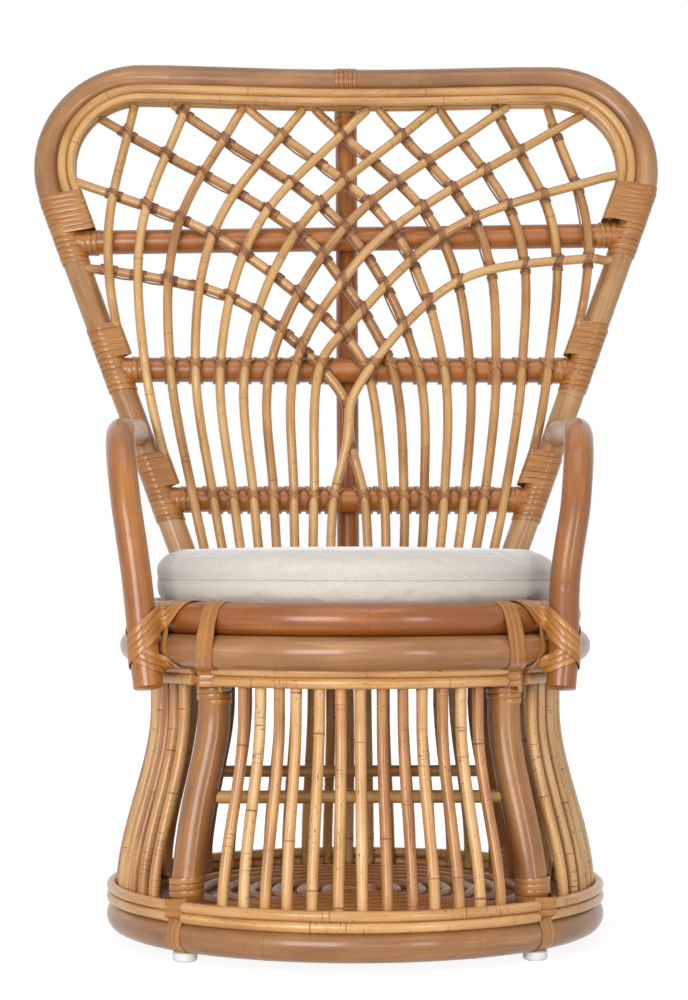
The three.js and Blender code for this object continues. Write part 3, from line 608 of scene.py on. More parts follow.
seat_hoop_radius = seat_radius - seat_pole + HOOP_R
leg_top_radius = seat_hoop_radius - HOOP_R - LEG_FIT - LEG_R
base_hoop_radius = base_radius + base_pole - HOOP_R
leg_low_radius = base_hoop_radius - HOOP_R - LEG_FIT - LEG_R
hoop_reach = seat_pole + HOOP_R + FIT
hoop_step = 2 * HOOP_R + FIT
seat_hoop_top = seat_height - math.sqrt(hoop_reach**2 - (seat_radius - seat_hoop_radius) ** 2)
base_hoop_low = base_height + math.sqrt(hoop_reach**2 - (base_hoop_radius - base_radius) ** 2)


def flared(low, high, height):
    """A radius that goes from low to high as the height passes through the flare."""
    return mix(low, high, smoothstep(height, *FLARE))


def outward_at(angle):
    """The level direction away from the chair's middle at an angle."""
    return np.array([math.cos(angle), math.sin(angle), 0.0])


# %% Legs and stretchers
LEG_BOW = {"rear_right": 0.001, "rear_left": 0.002, "front_left": 0.005, "front_right": 0.001}
LEG_BOW_FROM = 0.09
LEG_BOW_LENGTH = 0.19
leg_heights = np.linspace(base_height + base_pole * COPE, seat_height + LEG_REACH, 90)
leg_radii = flared(leg_low_radius, leg_top_radius, leg_heights)
half_wave = np.sin(np.pi * np.clip((leg_heights - LEG_BOW_FROM) / LEG_BOW_LENGTH, 0, 1)) ** 2
leg_paths = {}
for place, (side, depth) in CORNERS.items():
    angle = math.atan2(depth * math.cos(LEG_TURN), side * math.sin(LEG_TURN))
    leg_paths[place] = on_circle(leg_radii + LEG_BOW[place] * half_wave, angle, leg_heights)
    stick = rattan(leg_paths[place], LEG_R, POLE_STOCK, outward_at(angle + math.pi / 2), tone(0.04))
    dress("leg_" + place, [stick], leg_finish)

leg_reach = flared(leg_low_radius, leg_top_radius, STRETCHER_HEIGHT)
x, y = leg_reach * math.sin(LEG_TURN), leg_reach * math.cos(LEG_TURN)
for place, side in (("front", -1), ("rear", 1)):
    path = straight((-x, side * y, STRETCHER_HEIGHT), (x, side * y, STRETCHER_HEIGHT))
    stick = rattan(path, STRETCHER_R, ROD_STOCK, UP, tone(0.03) - 0.04)
    dress("stretcher_" + place, [stick], rod_finish)
print("legs and stretchers:", made_pieces[-6:])

# %% Skirt panels
SEAT_HOOP_STOP = 0.0165  # from the middle of a leg to the cut ends of the hoops beside it
BASE_HOOP_STOP = 0.0105
SPINDLE_LEAN = 0.005  # spread of the spindles' lean, bow and place, as angles round the chair
SPINDLE_BOW = 0.004
SPINDLE_SHIFT = 0.003
spindle_heights = np.linspace(base_height + base_pole + FIT, seat_hoop_top + HOOP_R, 60)
spindle_radii = flared(base_hoop_radius, seat_hoop_radius, spindle_heights) - HOOP_R - SPINDLE_R + NAILED
spindle_spread = math.pi / 4 - SPINDLE_MARGIN
spindle_rise = spindle_heights - spindle_heights[0]


def hoop_arc(middle, radius, height, stop):
    """A quarter of a hoop, short of the leg at both ends."""
    half = math.pi / 4 - stop / radius
    return on_circle(radius, np.linspace(middle - half, middle + half, 80), height)


for place, degrees in PANEL_ANGLES.items():
    middle = math.radians(degrees)
    skins = []
    for angle in np.linspace(middle - spindle_spread, middle + spindle_spread, SPINDLES_PER_PANEL):
        lean = rng.normal(0, SPINDLE_LEAN) * spindle_rise / spindle_heights[-1]
        bow = rng.normal(0, SPINDLE_BOW) * np.sin(np.pi * spindle_rise / spindle_rise[-1])
        angles = angle + rng.normal(0, SPINDLE_SHIFT) + lean + bow
        path = on_circle(spindle_radii, angles, spindle_heights)
        skins.append(rattan(path, SPINDLE_R, SKIRT_STOCK, outward_at(angle), tone(0.16)))
    for i in (0, 1):
        low = hoop_arc(middle, base_hoop_radius, base_hoop_low + i * hoop_step, BASE_HOOP_STOP)
        high = hoop_arc(middle, seat_hoop_radius, seat_hoop_top - i * hoop_step, SEAT_HOOP_STOP)
        skins += [rattan(path, HOOP_R * SNUG, ROD_STOCK, UP, tone(0.05) + 0.03) for path in (low, high)]
    dress("skirt_" + place, skins, skirt_finish)
print("skirt:", made_pieces[-4:])

# %% [markdown]
# ## Shelf and deck
# The shelf is one rod coiled flat on two crossed battens. A thin dark sheet lies between its turns as
# painted shade, so the gaps between them look dark. The deck under the cushion is a row of rods on two
# bearers. It shows only when the cushion is lifted.

# %% Shelf and deck
SHELF_TURNS = 7
SHELF_EYE = 0.020
SHELF_MARGIN = 0.009
SHELF_ROD_R = 0.0065
BATTEN_R = 0.008
BATTEN_RISE = 0.008
DECK_RODS = 11
DECK_SPACING = 0.038
DECK_RISE = 0.008
DECK_ROD_R = 0.006
BEARER_R = 0.009
BEARER_OFFSET = 0.110
SHADE_SHEET_DEPTHS = np.array([0.006, 0.006, 0.0045, 0.003, 0.003])  # below the middle of the shelf's rod
SHADE_SHEET_EYE = 0.002
SHADE_SHEET_EDGE = 0.001


def across_seat(offset, height):
    """A straight path from the front of the upper seat ring to its back, to the right of its middle."""
    reach = math.sqrt(upper_radius**2 - offset**2) - upper_pole * COPE
    return straight((offset, -reach, height), (offset, reach, height))


batten_height = base_height + BATTEN_RISE
shelf_height = batten_height + BATTEN_R + SHELF_ROD_R - NAILED
shelf_radius = leg_low_radius - LEG_R - SHELF_MARGIN - SHELF_ROD_R
turn = np.linspace(0, 2 * np.pi * SHELF_TURNS, 60 * SHELF_TURNS)
coil = on_circle(mix(SHELF_EYE, shelf_radius, turn / turn[-1]), turn, shelf_height)
shelf = [rattan(coil, SHELF_ROD_R, ROD_STOCK, UP, 0.25)]
batten_reach = base_radius - base_pole * COPE
for x, y in ((batten_reach, 0), (0, batten_reach)):
    path = straight((-x, -y, batten_height), (x, y, batten_height))
    shelf.append(rattan(path, BATTEN_R, ROD_STOCK, UP, -0.08))
dress("base_shelf", shelf, rail_finish)
# painted shade: a dark sheet between the coil's turns, in the darkest finish and made darker still
shade_sheet_radii = np.array([SHADE_SHEET_EYE, shelf_radius, shelf_radius + SHADE_SHEET_EDGE, shelf_radius, SHADE_SHEET_EYE])
shade_sheet = on_circle(shade_sheet_radii[:, None], full_turn(96), shelf_height - SHADE_SHEET_DEPTHS[:, None])
make_piece("shelf_shade_sheet", [skin(shade_sheet, shade_sheet, 0.0, -0.2)], lashing_finish)

deck_height = upper_height + DECK_RISE
deck = []
for x in (np.arange(DECK_RODS) - (DECK_RODS - 1) / 2) * DECK_SPACING:
    deck.append(rattan(across_seat(x, deck_height), DECK_ROD_R, ROD_STOCK, UP, tone(0.08)))
bearer_height = deck_height - DECK_ROD_R - BEARER_R + NAILED
for y in (-BEARER_OFFSET, BEARER_OFFSET):
    path = across_seat(y, bearer_height)[:, [1, 0, 2]]
    deck.append(rattan(path, BEARER_R, ROD_STOCK, UP, -0.06))
dress("seat_deck", deck, rod_finish)
print("shelf, mat and deck:", made_pieces[-3:])

# %% [markdown]
# ## The reclined back
# The back is flat, so its pieces are drawn on it: x across, a height up the slope from the seat ring,
# and a depth towards the sitter. The two poles lean outwards and bend over the top with one radius.

# %% Sizes and places on the back
RECLINE = math.radians(10)
LEAN = math.radians(20.3)
BACK_FOOT = 0.178
BACK_LENGTH = 0.773
BACK_DIP = 0.005
LEVEL_SHARE = 0.1
CORNER_RADIUS = 0.128
POLE_DROP = 0.043
POLE_R = 0.0175
RAIL_R = 0.0165
POST_R = 0.015
ROD_R = 0.0055
NOTCH = 0.0012
RAILS = {"seat": 0.081, "lower": 0.184, "middle": 0.361, "upper": 0.544}
HOOP_FRONT = 0.0155
HOOP_ROOM = 0.0028
HOOP_FOOT = 0.024
ROD_COPE = 0.002
UPPER_RAIL_TILT = 0.0065  # rise of the upper rail's right end, and fall of its left end
RAIL_COPE = 0.5  # ends of rails, post and arms, as shares of the pole's radius
POST_COPE = 0.8
ARM_COPE = 0.3
# painted light: the frame poles are drawn lighter at the foot and darker towards the top, where less light
# falls
FRAME_LIGHT_FADE = (0.18, -0.26)  # at the foot, and how much it gains up to the splice
REAR_HOOP_TONE = -0.1

BACK_UP = np.array([0.0, math.sin(RECLINE), math.cos(RECLINE)])
BACK_FRONT = np.array([0.0, -math.cos(RECLINE), math.sin(RECLINE)])
ACROSS = np.array([1.0, 0.0, 0.0])
pole_stand = (seat_pole + POLE_R + FIT) / math.cos(LEAN) - NOTCH
back_foot = np.array([0.0, math.sqrt((seat_radius + pole_stand) ** 2 - BACK_FOOT**2), seat_height])
SIDES = {"right": 1, "left": -1}


def on_back(x, height, front=0.0):
    """Points on the back, from x across, height up its slope and depth to the front."""
    x, height, front = (np.asarray(v, float)[..., None] for v in (x, height, front))
    return back_foot + x * ACROSS + height * BACK_UP + front * BACK_FRONT


def pole_x(height):
    """How far out the middle of a back pole is at a height."""
    return BACK_FOOT + height * math.tan(LEAN)


def rail_height(level, side):
    """Height of a rail's end on one side. Only the upper rail slopes."""
    return RAILS[level] + (side * UPPER_RAIL_TILT if level == "upper" else 0.0)


def half_outline(inset, foot, front):
    """One side of the back: straight up a pole, round the corner, and level to the middle of the top,
    where it sags a little. The inset moves the line inwards by the same amount all along."""
    bend = CORNER_RADIUS - inset
    centre_height = BACK_LENGTH - CORNER_RADIUS
    centre_x = pole_x(centre_height) - CORNER_RADIUS / math.cos(LEAN)
    angle = np.linspace(-LEAN, math.pi / 2, 60)
    share = np.linspace(1, 0, 50)[1:]
    sag = BACK_DIP * smoothstep(1 - share, 0, 1 - LEVEL_SHARE)
    x = [[pole_x(foot) - inset / math.cos(LEAN)], centre_x + bend * np.cos(angle), centre_x * share]
    height = [[foot], centre_height + bend * np.sin(angle), BACK_LENGTH - inset - sag]
    return on_back(np.concatenate(x), np.concatenate(height), front)


def towards(side, path):
    """The path on the right, or its mirror image on the left."""
    return path * np.array([side, 1, 1])


def whole_outline(side, inset, above, front):
    """The outline from the upper rail on one side, drawn as if on the right, to the rail on the other."""
    near = half_outline(inset, rail_height("upper", side) + above, front)
    far = half_outline(inset, rail_height("upper", -side) + above, front)
    return np.vstack([near, towards(-1, far)[-2::-1]])


# %% Frame poles, rails and centre post
frame_half = half_outline(0, -POLE_DROP / math.cos(RECLINE), 0)
frame_half[-1, 0] = FIT / 2
for place, side in SIDES.items():
    stick = rattan(towards(side, frame_half), POLE_R, POLE_STOCK, BACK_FRONT, *FRAME_LIGHT_FADE)
    dress("back_frame_" + place, [stick], frame_finish)

for place in RAILS:
    heights = np.array([rail_height(place, side) for side in (-1, 1)])
    path = straight(*on_back((pole_x(heights) - POLE_R * RAIL_COPE) * (-1, 1), heights))
    stick = rattan(path, RAIL_R, POLE_STOCK, BACK_FRONT, tone(0.03))
    dress("back_rail_" + place, [stick], rail_finish)

post_front = -(RAIL_R + POST_R + FIT)
post_ends = [RAILS["seat"] - RAIL_R, BACK_LENGTH - BACK_DIP - POLE_R * POST_COPE]
post_path = straight(*on_back([0, 0], post_ends, post_front))
post = rattan(post_path, POST_R, POLE_STOCK, BACK_FRONT, -0.03)
dress("back_centre_post", [post], rail_finish)
print("frame, rails and post:", made_pieces[-7:])

# %% Hoops inside the frame
hoop_inset = math.sqrt((POLE_R + HOOP_R + HOOP_ROOM) ** 2 - HOOP_FRONT**2)
inner_inset = hoop_inset + hoop_step
tucked_front = HOOP_FRONT - HOOP_R - ROD_R + ROD_COPE
rear_hoop_front = tucked_front - ROD_R - FIT - HOOP_R
HOOPS = {
    "outer": (hoop_inset, HOOP_FRONT),
    "inner": (inner_inset, HOOP_FRONT),
    "rear": (inner_inset, rear_hoop_front),
}
for place, (inset, front) in HOOPS.items():
    path = whole_outline(1, inset, HOOP_FOOT, front)
    shade = tone(0.03) + (REAR_HOOP_TONE if place == "rear" else 0)
    stick = rattan(path, HOOP_R * SNUG, ROD_STOCK, BACK_FRONT, shade)
    dress("back_hoop_" + place, [stick], rod_finish)
print("hoops:", made_pieces[-3:])

# %% Arms
ARM_ANGLE = {"right": math.radians(39.5), "left": math.radians(35)}
ARM_SPREAD = {"right": 0.027, "left": 0.034}
ARM_BOW = {"right": 0.006, "left": 0.002}  # inwards, halfway up to the bend
ARM_SETBACK = 0.050
ARM_RISE = 0.252
ARM_BEND = 0.088
ARM_REAR = 0.276
arm_stand = seat_radius + seat_pole + POLE_R + FIT - NOTCH
arm_rear = on_back(pole_x(ARM_REAR), ARM_REAR)


def arm_ways(place):
    """(place at the seat ring, corner of the front bend, way up to it, way back from it) of an arm, as
    if on the right."""
    seat = on_circle(arm_stand, -ARM_ANGLE[place], seat_height)
    corner = seat + np.array([ARM_SPREAD[place], ARM_SETBACK, ARM_RISE])
    return seat, corner, unit(corner - seat), unit(arm_rear - corner)


def arm_path(place):
    """An arm: up from below the seat ring with a slight bow, a quadratic bend, and back into the pole."""
    seat, corner, up, back = arm_ways(place)
    t = np.linspace(0, 1, 60)[:, None]
    low, high = corner - ARM_BEND * up, corner + ARM_BEND * back
    bend = (1 - t) ** 2 * low + 2 * t * (1 - t) * corner + t**2 * high
    halfway = (seat + low) / 2 - ARM_BOW[place] * outward_at(-ARM_ANGLE[place])
    rise = bent_through([seat - up * POLE_DROP / up[2], seat, halfway, low, bend[8]])
    rise = rise[rise[:, 2] < low[2]]
    return evenly(np.vstack([rise, bend, arm_rear - back * POLE_R * ARM_COPE]), 0.004)


# painted shade: the right arm starts darker, away from the lamp on the left; both arms lighten upwards
ARM_TONE_AND_SHADE = {"right": (-0.26, 0.30), "left": (-0.12, 0.24)}  # at the foot, and how much it gains
arm_paths = {}
for place, side in SIDES.items():
    arm_paths[place] = towards(side, arm_path(place))
    stick = rattan(arm_paths[place], POLE_R, POLE_STOCK, ACROSS, *ARM_TONE_AND_SHADE[place])
    dress("arm_" + place, [stick], pole_finish)
print("arms:", made_pieces[-2:])

# %% [markdown]
# ## Lattice
# Ten rods rise from each side of the seat and fan over to the other side. Their courses on the back
# are splines through the places where they pass the rails, cross the middle and end at the inner hoop.
# The rods rooted on the left lie in front. The first rod of each side ends against the far pole, and
# all the others bend back behind the hoop at the top.

# %% Courses of the rods
RODS_PER_SIDE = 10
FOOT_SHARE = (0.125, 0.108, 0)
LOWER_SHARE = (0.08, 0.108, 0)
MIDDLE_SHARE = (0.012, 0.107, 0)
UPPER_SHARE = (0.5115, -0.192, 0.0045)
END_SHARE = (-0.0482, 0.1159, -0.0027)
LEAST_END_SHARE = 0.067
CROSSING = (0.315, 0.412, 0.486)  # heights where the first rods cross the middle
FIRST_CROSSING = [(-0.0030, 0.254), (0.0, 0.280), (0.0060, 0.318)]
SECOND_ROD_SHARE = {"left": 0.36, "right": 0.45}
RIGHT_DRIFT = 0.016  # the inner rods rooted on the right run this much nearer the middle
FIRST_ROD_DROP = 0.038
FIRST_ROD_COPE = 0.62  # its end stops at this share of a pole's radius from the pole's middle
KNEE_SHARE = 0.41
KNEE_RISE = {"left": 0.806, "right": 0.72}
LAST_FOOT_RODS = 8  # the rods beyond these start in a binding, beside a back pole
TIE_FOOT = RAIL_R + 0.006
TIE_LENGTH = 0.032
TIE_TURN = math.radians(25)
TIE_RUN = 0.040
TUCK = (0.570, 0.724)
LIFT = (0.325, 0.385)
EARLY_LIFT = (0.184, 0.284)
ROD_FRONT = RAIL_R + ROD_R + FIT
ROD_SKIN = 0.0063  # rods press into each other and into the rails where they are tied
LAYER_STEP = 2 * ROD_R + 0.0006
TIE_REACH = POLE_R + ROD_R + 0.0005

tie_inset = TIE_REACH * math.cos(TIE_TURN)
tie_front = TIE_REACH * math.sin(TIE_TURN)
end_routes = {
    place: whole_outline(-side, inner_inset + HOOP_R / 2, RAIL_R, 0) for place, side in SIDES.items()
}


def series(terms, i):
    """first + step i + bend i squared."""
    return terms[0] + terms[1] * i + terms[2] * i * i


def tie_heights(i):
    """Heights where a rod that starts in a binding begins and where it leaves the pole."""
    foot = RAILS["lower" if i == LAST_FOOT_RODS else "middle"] + TIE_FOOT
    return foot, foot + TIE_LENGTH


def rod_course(place, i):
    """Places (x, height) that rod i goes through, counted from the middle outwards. It is drawn as if
    rooted on the left, and its end lies on the other side."""
    end_side = -SIDES[place]
    drift = RIGHT_DRIFT * (1 - i / RODS_PER_SIDE) if i > 0 and place == "right" else 0.0
    places = []

    def pass_at(height, share, shift=0.0):
        places.append((share * pole_x(height) + shift, height))

    if i < LAST_FOOT_RODS:
        pass_at(RAILS["seat"], -series(FOOT_SHARE, i))
        pass_at(RAILS["lower"], -series(LOWER_SHARE, i))
    else:
        for height in tie_heights(i):
            places.append((tie_inset / math.cos(LEAN) - pole_x(height), height))
    if 0 < i <= LAST_FOOT_RODS:
        pass_at(RAILS["middle"], -series(MIDDLE_SHARE, i), drift)
    if i == 0:
        places += FIRST_CROSSING
    elif i < len(CROSSING):
        places.append((drift, CROSSING[i]))
    if i == 0:
        end = rail_height("upper", end_side) - FIRST_ROD_DROP
        pass_at(mix(CROSSING[0], end, KNEE_RISE[place]), KNEE_SHARE)
        pass_at(end, 1.0 - FIRST_ROD_COPE * POLE_R / pole_x(end))
        return places
    share = SECOND_ROD_SHARE[place] if i == 1 else series(UPPER_SHARE, i)
    pass_at(RAILS["upper"] + end_side * share * UPPER_RAIL_TILT, share, drift / 2)
    route = end_routes[place]
    share = max(series(END_SHARE, i), LEAST_END_SHARE)
    end = at_lengths(route, np.array([share * lengths(route)[-1]]))[0]
    places.append((end[0], (end[2] - seat_height) / math.cos(RECLINE)))
    return places


def rod_front(place, i, height):
    """Depth of a rod: on the rails, lifted over the rods behind it, and tucked back at the top. A rod
    that starts in a binding comes forward from the side of the pole."""
    depth = mix(ROD_FRONT, tucked_front - LAYER_STEP, smoothstep(height, *TUCK))
    if place == "left":
        depth = depth + LAYER_STEP * smoothstep(height, *(EARLY_LIFT if i < len(CROSSING) else LIFT))
    if i < LAST_FOOT_RODS:
        return depth
    leaves = tie_heights(i)[1]
    return mix(tie_front, depth, smoothstep(height, leaves, leaves + TIE_RUN))


# %% Rods
POLE_BUTT = 0.009  # the first rods bend back to this depth and butt against the poles
BUTT_RUN = 0.034
END_RUN = 0.03  # length over which the front rods lean back to butt against the hoop
END_DIP = 0.6 * LAYER_STEP
RIGHT_TONE = -0.07  # the rods behind are a little darker
rods = {}
for place, side in SIDES.items():
    for i in range(RODS_PER_SIDE):
        flat = np.array([(x, height, 0) for x, height in rod_course(place, i)])
        flat = evenly(bent_through(flat), 0.002)
        front = rod_front(place, i, flat[:, 1])
        left_over = lengths(flat)[-1] - lengths(flat)
        if i == 0:
            front = mix(POLE_BUTT, front, smoothstep(left_over, 0.0, BUTT_RUN))
        elif place == "left":
            front = front - END_DIP * (1 - smoothstep(left_over, 0.0, END_RUN))
            flat, front = flat[:-2], front[:-2]
        x = flat[:, 0] * -side
        rods[place, i] = np.stack([x, flat[:, 1], front], axis=1)
        shade = tone(0.08) + (RIGHT_TONE if place == "right" else 0)
        stick = rattan(on_back(x, flat[:, 1], front), ROD_SKIN, ROD_STOCK, BACK_FRONT, shade)
        dress(f"lattice_{place}_{i + 1}", [stick], rod_finish)
print("lattice rods:", len(rods))

# %% [markdown]
# ## Bindings on the frame
# At every rail the peel goes round the back pole in wide turns above the rail, then round the pole at
# the rail itself, where the rail stops each turn, and then round the rail's end. The turns lie level
# although the pole leans. At the upper rail they also hold the ends of the three hoops, and at the
# other two the foot of a rod.

# %% Bindings at the rails
LEVEL = math.tan(LEAN) * 0.6  # the turns lie nearly level on the leaning pole
JOINT_TURNS = 7
JOINT_LOW = 0.0270  # the lowest turn lies this far below the rail's middle
JOINT_OPEN = (22, 28)  # degrees from the rail's middle to the ends of a turn that it stops
JOINT_CLOSED = 4  # and to those of a turn below the rail
JOINT_STAND = (0.0001, 0.0005)
JOINT_DRIFT = 0.0003
JOINT_SHY = 0.002  # a turn this far below the rail's skin still meets the rail
RAIL_END_TURNS = 3
RAIL_END_GAP = 0.002


def pole_frame(side, height):
    """(point on a back pole, way up the pole, way inwards, sign that turns depth to the front)."""
    point = on_back(side * pole_x(height), height)
    axis = unit(on_back(side * pole_x(height + 0.01), height + 0.01) - point)
    inwards = np.cross(BACK_FRONT, axis) * side
    forward = math.copysign(1, np.cross(axis, inwards) @ BACK_FRONT)
    return point, axis, inwards, forward


def joint_turns(side, height):
    """Turns round the back pole at a rail and a little below it. Each is an open arc whose ends stop
    inside the rail, or close up under it."""
    turns = []
    for k in range(JOINT_TURNS):
        up = k * MEDIUM["pitch"] - JOINT_LOW
        point, axis, inwards, _ = pole_frame(side, height + up)
        open_half = math.radians(rng.uniform(*JOINT_OPEN) if up > -RAIL_R - JOINT_SHY else JOINT_CLOSED)
        angle = np.linspace(open_half, 2 * np.pi - open_half, 44)
        outward = circling(angle, inwards, np.cross(axis, inwards))
        droop = -LEVEL * POLE_R * np.cos(angle) + rng.normal(0, JOINT_DRIFT)
        path = point + outward * (POLE_R + rng.uniform(*JOINT_STAND)) + np.outer(droop, axis)
        turns.append(peel(path, outward, MEDIUM, tone(0.05)))
    return turns


def rail_end_turns(side, height):
    """Turns round the end of a rail, from the back pole inwards."""
    start = on_back(side * (pole_x(height) - POLE_R / math.cos(LEAN) - RAIL_END_GAP), height)
    round_rail = [(0, 0, RAIL_R)]
    return winding(start, -side * ACROSS, BACK_FRONT, round_rail, MEDIUM, RAIL_END_TURNS, tone=-0.04)


BINDINGS = {  # turns, strip, and how far below the top of the rail the first turn starts
    "lower": (6, WIDE, 0.007),
    "middle": (6, WIDE, 0.007),
    "upper": (8, MEDIUM, 0.011),
}
for level, (turns, strip, drop) in BINDINGS.items():
    for place, side in SIDES.items():
        height = rail_height(level, side)
        foot = height + RAIL_R - drop + strip["width"] / 2 + LEVEL * POLE_R * 0.5
        point, axis, inwards, forward = pole_frame(side, foot)
        bundle = [(0, 0, POLE_R)]
        if level == "upper":
            bundle += [(inset, forward * front, HOOP_R) for inset, front in HOOPS.values()]
        else:
            bundle.append((tie_inset, forward * tie_front, ROD_R))
        coil = winding(point, axis, inwards, bundle, strip, turns, 48, from_turn=0.45, skew=LEVEL)
        skins = [coil, *joint_turns(side, height), rail_end_turns(side, height)]
        dress(f"binding_{level}_{place}", skins, peel_finish)

SPLICE_PEEL = {"width": 0.0058, "thickness": 0.0011, "pitch": 0.0060}
SPLICE_TURNS = 5
COLLAR_TURNS = 4
COLLAR_DROP = 0.030
splice_start = on_back(-SPLICE_TURNS / 2 * SPLICE_PEEL["pitch"], BACK_LENGTH - BACK_DIP)
splice = winding(splice_start, ACROSS, BACK_UP, [(0, 0, POLE_R)], SPLICE_PEEL, SPLICE_TURNS, tone=-0.14)
dress("binding_top", [splice], peel_finish)
post_top = on_back(0, post_ends[1] - COLLAR_DROP, post_front)
collar = winding(post_top, BACK_UP, ACROSS, [(0, 0, POST_R)], NARROW, COLLAR_TURNS, tone=-0.1)
make_piece("post_collar", [collar], peel_finish)
print("bindings:", made_pieces[-8:])

# %% [markdown]
# ## Lashings in the lattice
# Each crossing is tied with thin brown peel. It goes round the rear rod on both sides of the front rod,
# and at most crossings it slants over the front rod too. From one crossing to the next it runs
# along the underside of the rear rod.

# %% Lashings where rods cross
STRAND = {"width": 0.0030, "thickness": 0.0015}
CROSSING_GAP = 0.0025  # rods that come this near each other on the back are tied
CROSSING_LOWEST = 0.25
CROSSING_MARGIN = 4  # a rod's points at each end that are not tied
CROSSING_TURNS = (1.5, 2.8)
STRIPS_OVER = [0, 2, 2, 3, 3]  # how many strips slant over the front rod, with their chances
STRIP_SLANT = (0.15, 0.6)
STRIP_ARC = 125  # degrees from the front of the rod to the ends of a strip over it
COIL_BESIDE = 0.8  # how far from the crossing a winding starts, as a share of the front rod's reach
STRAND_FORWARD = 0.001
STRAND_FACING = 0.4
LASHING_TONES = 0.12
STRAND_SAGS = [0.0, 0.0008, 0.0022]
STRAND_SHORTEST = 8  # points of the rod


def crossings():
    """Each place where a left-rooted rod meets a right-rooted one: their nearest points on the back."""
    found = []
    for i in range(RODS_PER_SIDE):
        for j in range(RODS_PER_SIDE):
            left, right = rods["left", i], rods["right", j]
            apart = np.linalg.norm(left[:, None, :2] - right[None, :, :2], axis=2)
            a, b = np.unravel_index(apart.argmin(), apart.shape)
            ends = min(a, b, len(left) - 1 - a, len(right) - 1 - b)
            tied = apart[a, b] < CROSSING_GAP and left[a, 1] > CROSSING_LOWEST
            if tied and ends >= CROSSING_MARGIN:
                found.append((left, a, right, b))
    return found


def way_along(rod, k):
    """Direction of a rod in space at its point k."""
    near = on_back(*rod[k - 2]), on_back(*rod[k + 2])
    return unit(near[1] - near[0])


def crossing_lashing(left, a, right, b):
    """Two short windings on the rear rod, and slanting strips that arch over the front rod."""
    rear, front = on_back(*right[b]), on_back(*left[a])
    rear_way, front_way = way_along(right, b), way_along(left, a)
    slope = np.linalg.norm(np.cross(rear_way, front_way))
    rear_rod = [(0, 0, ROD_SKIN)]
    skins = []
    for end in (-1, 1):
        start = rear + rear_way * end * ROD_SKIN / slope * COIL_BESIDE
        turns = rng.uniform(*CROSSING_TURNS)
        shade = tone(LASHING_TONES)
        skins.append(winding(start, end * rear_way, BACK_FRONT, rear_rod, NARROW, turns, 14, 0.5, shade))
    theta = np.radians(np.linspace(-STRIP_ARC, STRIP_ARC, 19))
    slant = rng.uniform(*STRIP_SLANT)
    over = rng.choice(STRIPS_OVER)
    for shift in (np.arange(over) - (over - 1) / 2) * NARROW["pitch"]:
        out = ROD_SKIN + rng.uniform(0, 0.0004)
        along = out * np.sin(theta) / slope
        path = front + np.outer(along, rear_way) + np.outer(out * np.cos(theta), BACK_FRONT)
        path = path + np.outer(shift + slant * along, front_way)
        skins.append(peel(path, circling(theta, BACK_FRONT, rear_way), NARROW, tone(LASHING_TONES)))
    return skins


def running_strand(rod, low, high):
    """A strand under a rear rod between two crossings. It hugs the rod at both and sags by half a wave."""
    span = rod[low : high + 1]
    middle = on_back(*span.T)
    _, below = directions(middle, BACK_FRONT)
    below = below * np.where(below @ BACK_UP > 0, -1.0, 1.0)[:, None]
    sag = rng.choice(STRAND_SAGS) * np.sin(np.pi * np.linspace(0, 1, len(span)))
    path = middle + below * (ROD_SKIN - SEATED + sag)[:, None] + STRAND_FORWARD * BACK_FRONT
    return peel(path, unit(below + STRAND_FACING * BACK_FRONT), STRAND, tone(0.1))


tied_crossings = crossings()
lashings = [tied for place in tied_crossings for tied in crossing_lashing(*place)]
for i in range(RODS_PER_SIDE):
    rod = rods["right", i]
    knots = sorted(b for _, _, right, b in tied_crossings if right is rod)
    for low, high in zip(knots, knots[1:]):
        if high - low > STRAND_SHORTEST:
            lashings.append(running_strand(rod, low, high))
make_piece("lattice_lashings", lashings, lashing_finish)
print("lattice lashings:", made_pieces[-1])

# %% [markdown]
# ## Lashings on the rails
# Where a rod passes the middle or the lower rail, two bands of three narrow strips cross over it in an X
# and go round behind the rail. The X is drawn once, in millimetres, and mirrored for the second band.

# %% Lashings where rods pass the rails
TIE = {"width": 0.0023, "thickness": 0.0009, "pitch": 0.0022}
TIE_STRIPS = 3
TIE_POINTS = 25  # points of the rod on each side that the strips can lie on
TIE_LIFT = 0.0004  # half the step from the lower band of the X to the upper one
X_GUIDE = np.array([  # aside, up, forward, and whether forward is counted from the rod's front
    (-10, 17, -6, 0), (-9.5, 16.5, 5, 0), (-7.5, 11, 15.5, 0), (-3.5, 7, -2, 1), (0, 3, 0.8, 1),
    (4, -1.5, -2, 1), (6.8, -8, 16, 0), (7, -15, 8.5, 0), (6.5, -18, -4, 0),
]) * (0.001, 0.001, 0.001, 1)
X_MIDDLE = 4


def rail_lashing(rod, k, height):
    """The X over rod point k, pulled tight over the rod and the rail."""
    x = rod[k, 0]
    near = rod[max(k - TIE_POINTS, 0) : k + TIE_POINTS]
    rail = on_back(x + np.linspace(-POLES_WITHIN, POLES_WITHIN, 2 * TIE_POINTS + 1), height)
    poles = [(on_back(*near.T), ROD_SKIN), (rail, RAIL_R)]
    slope = (rod[k + 2, 0] - rod[k - 2, 0]) / (rod[k + 2, 1] - rod[k - 2, 1])
    front = rod[k, 2] + ROD_SKIN
    skins = []
    for lean in (-1, 1):
        aside, up, forward, on_rod = X_GUIDE.T
        forward = forward + on_rod * front
        forward[X_MIDDLE] += TIE_LIFT * lean
        guide = on_back(x + lean * aside + up * slope, height + up, forward)
        lift = SEATED / 2 + TIE_LIFT * (1 + lean)
        skins += band(guide, poles, TIE, TIE_STRIPS, lift, 8, LASHING_TONES)
    return skins


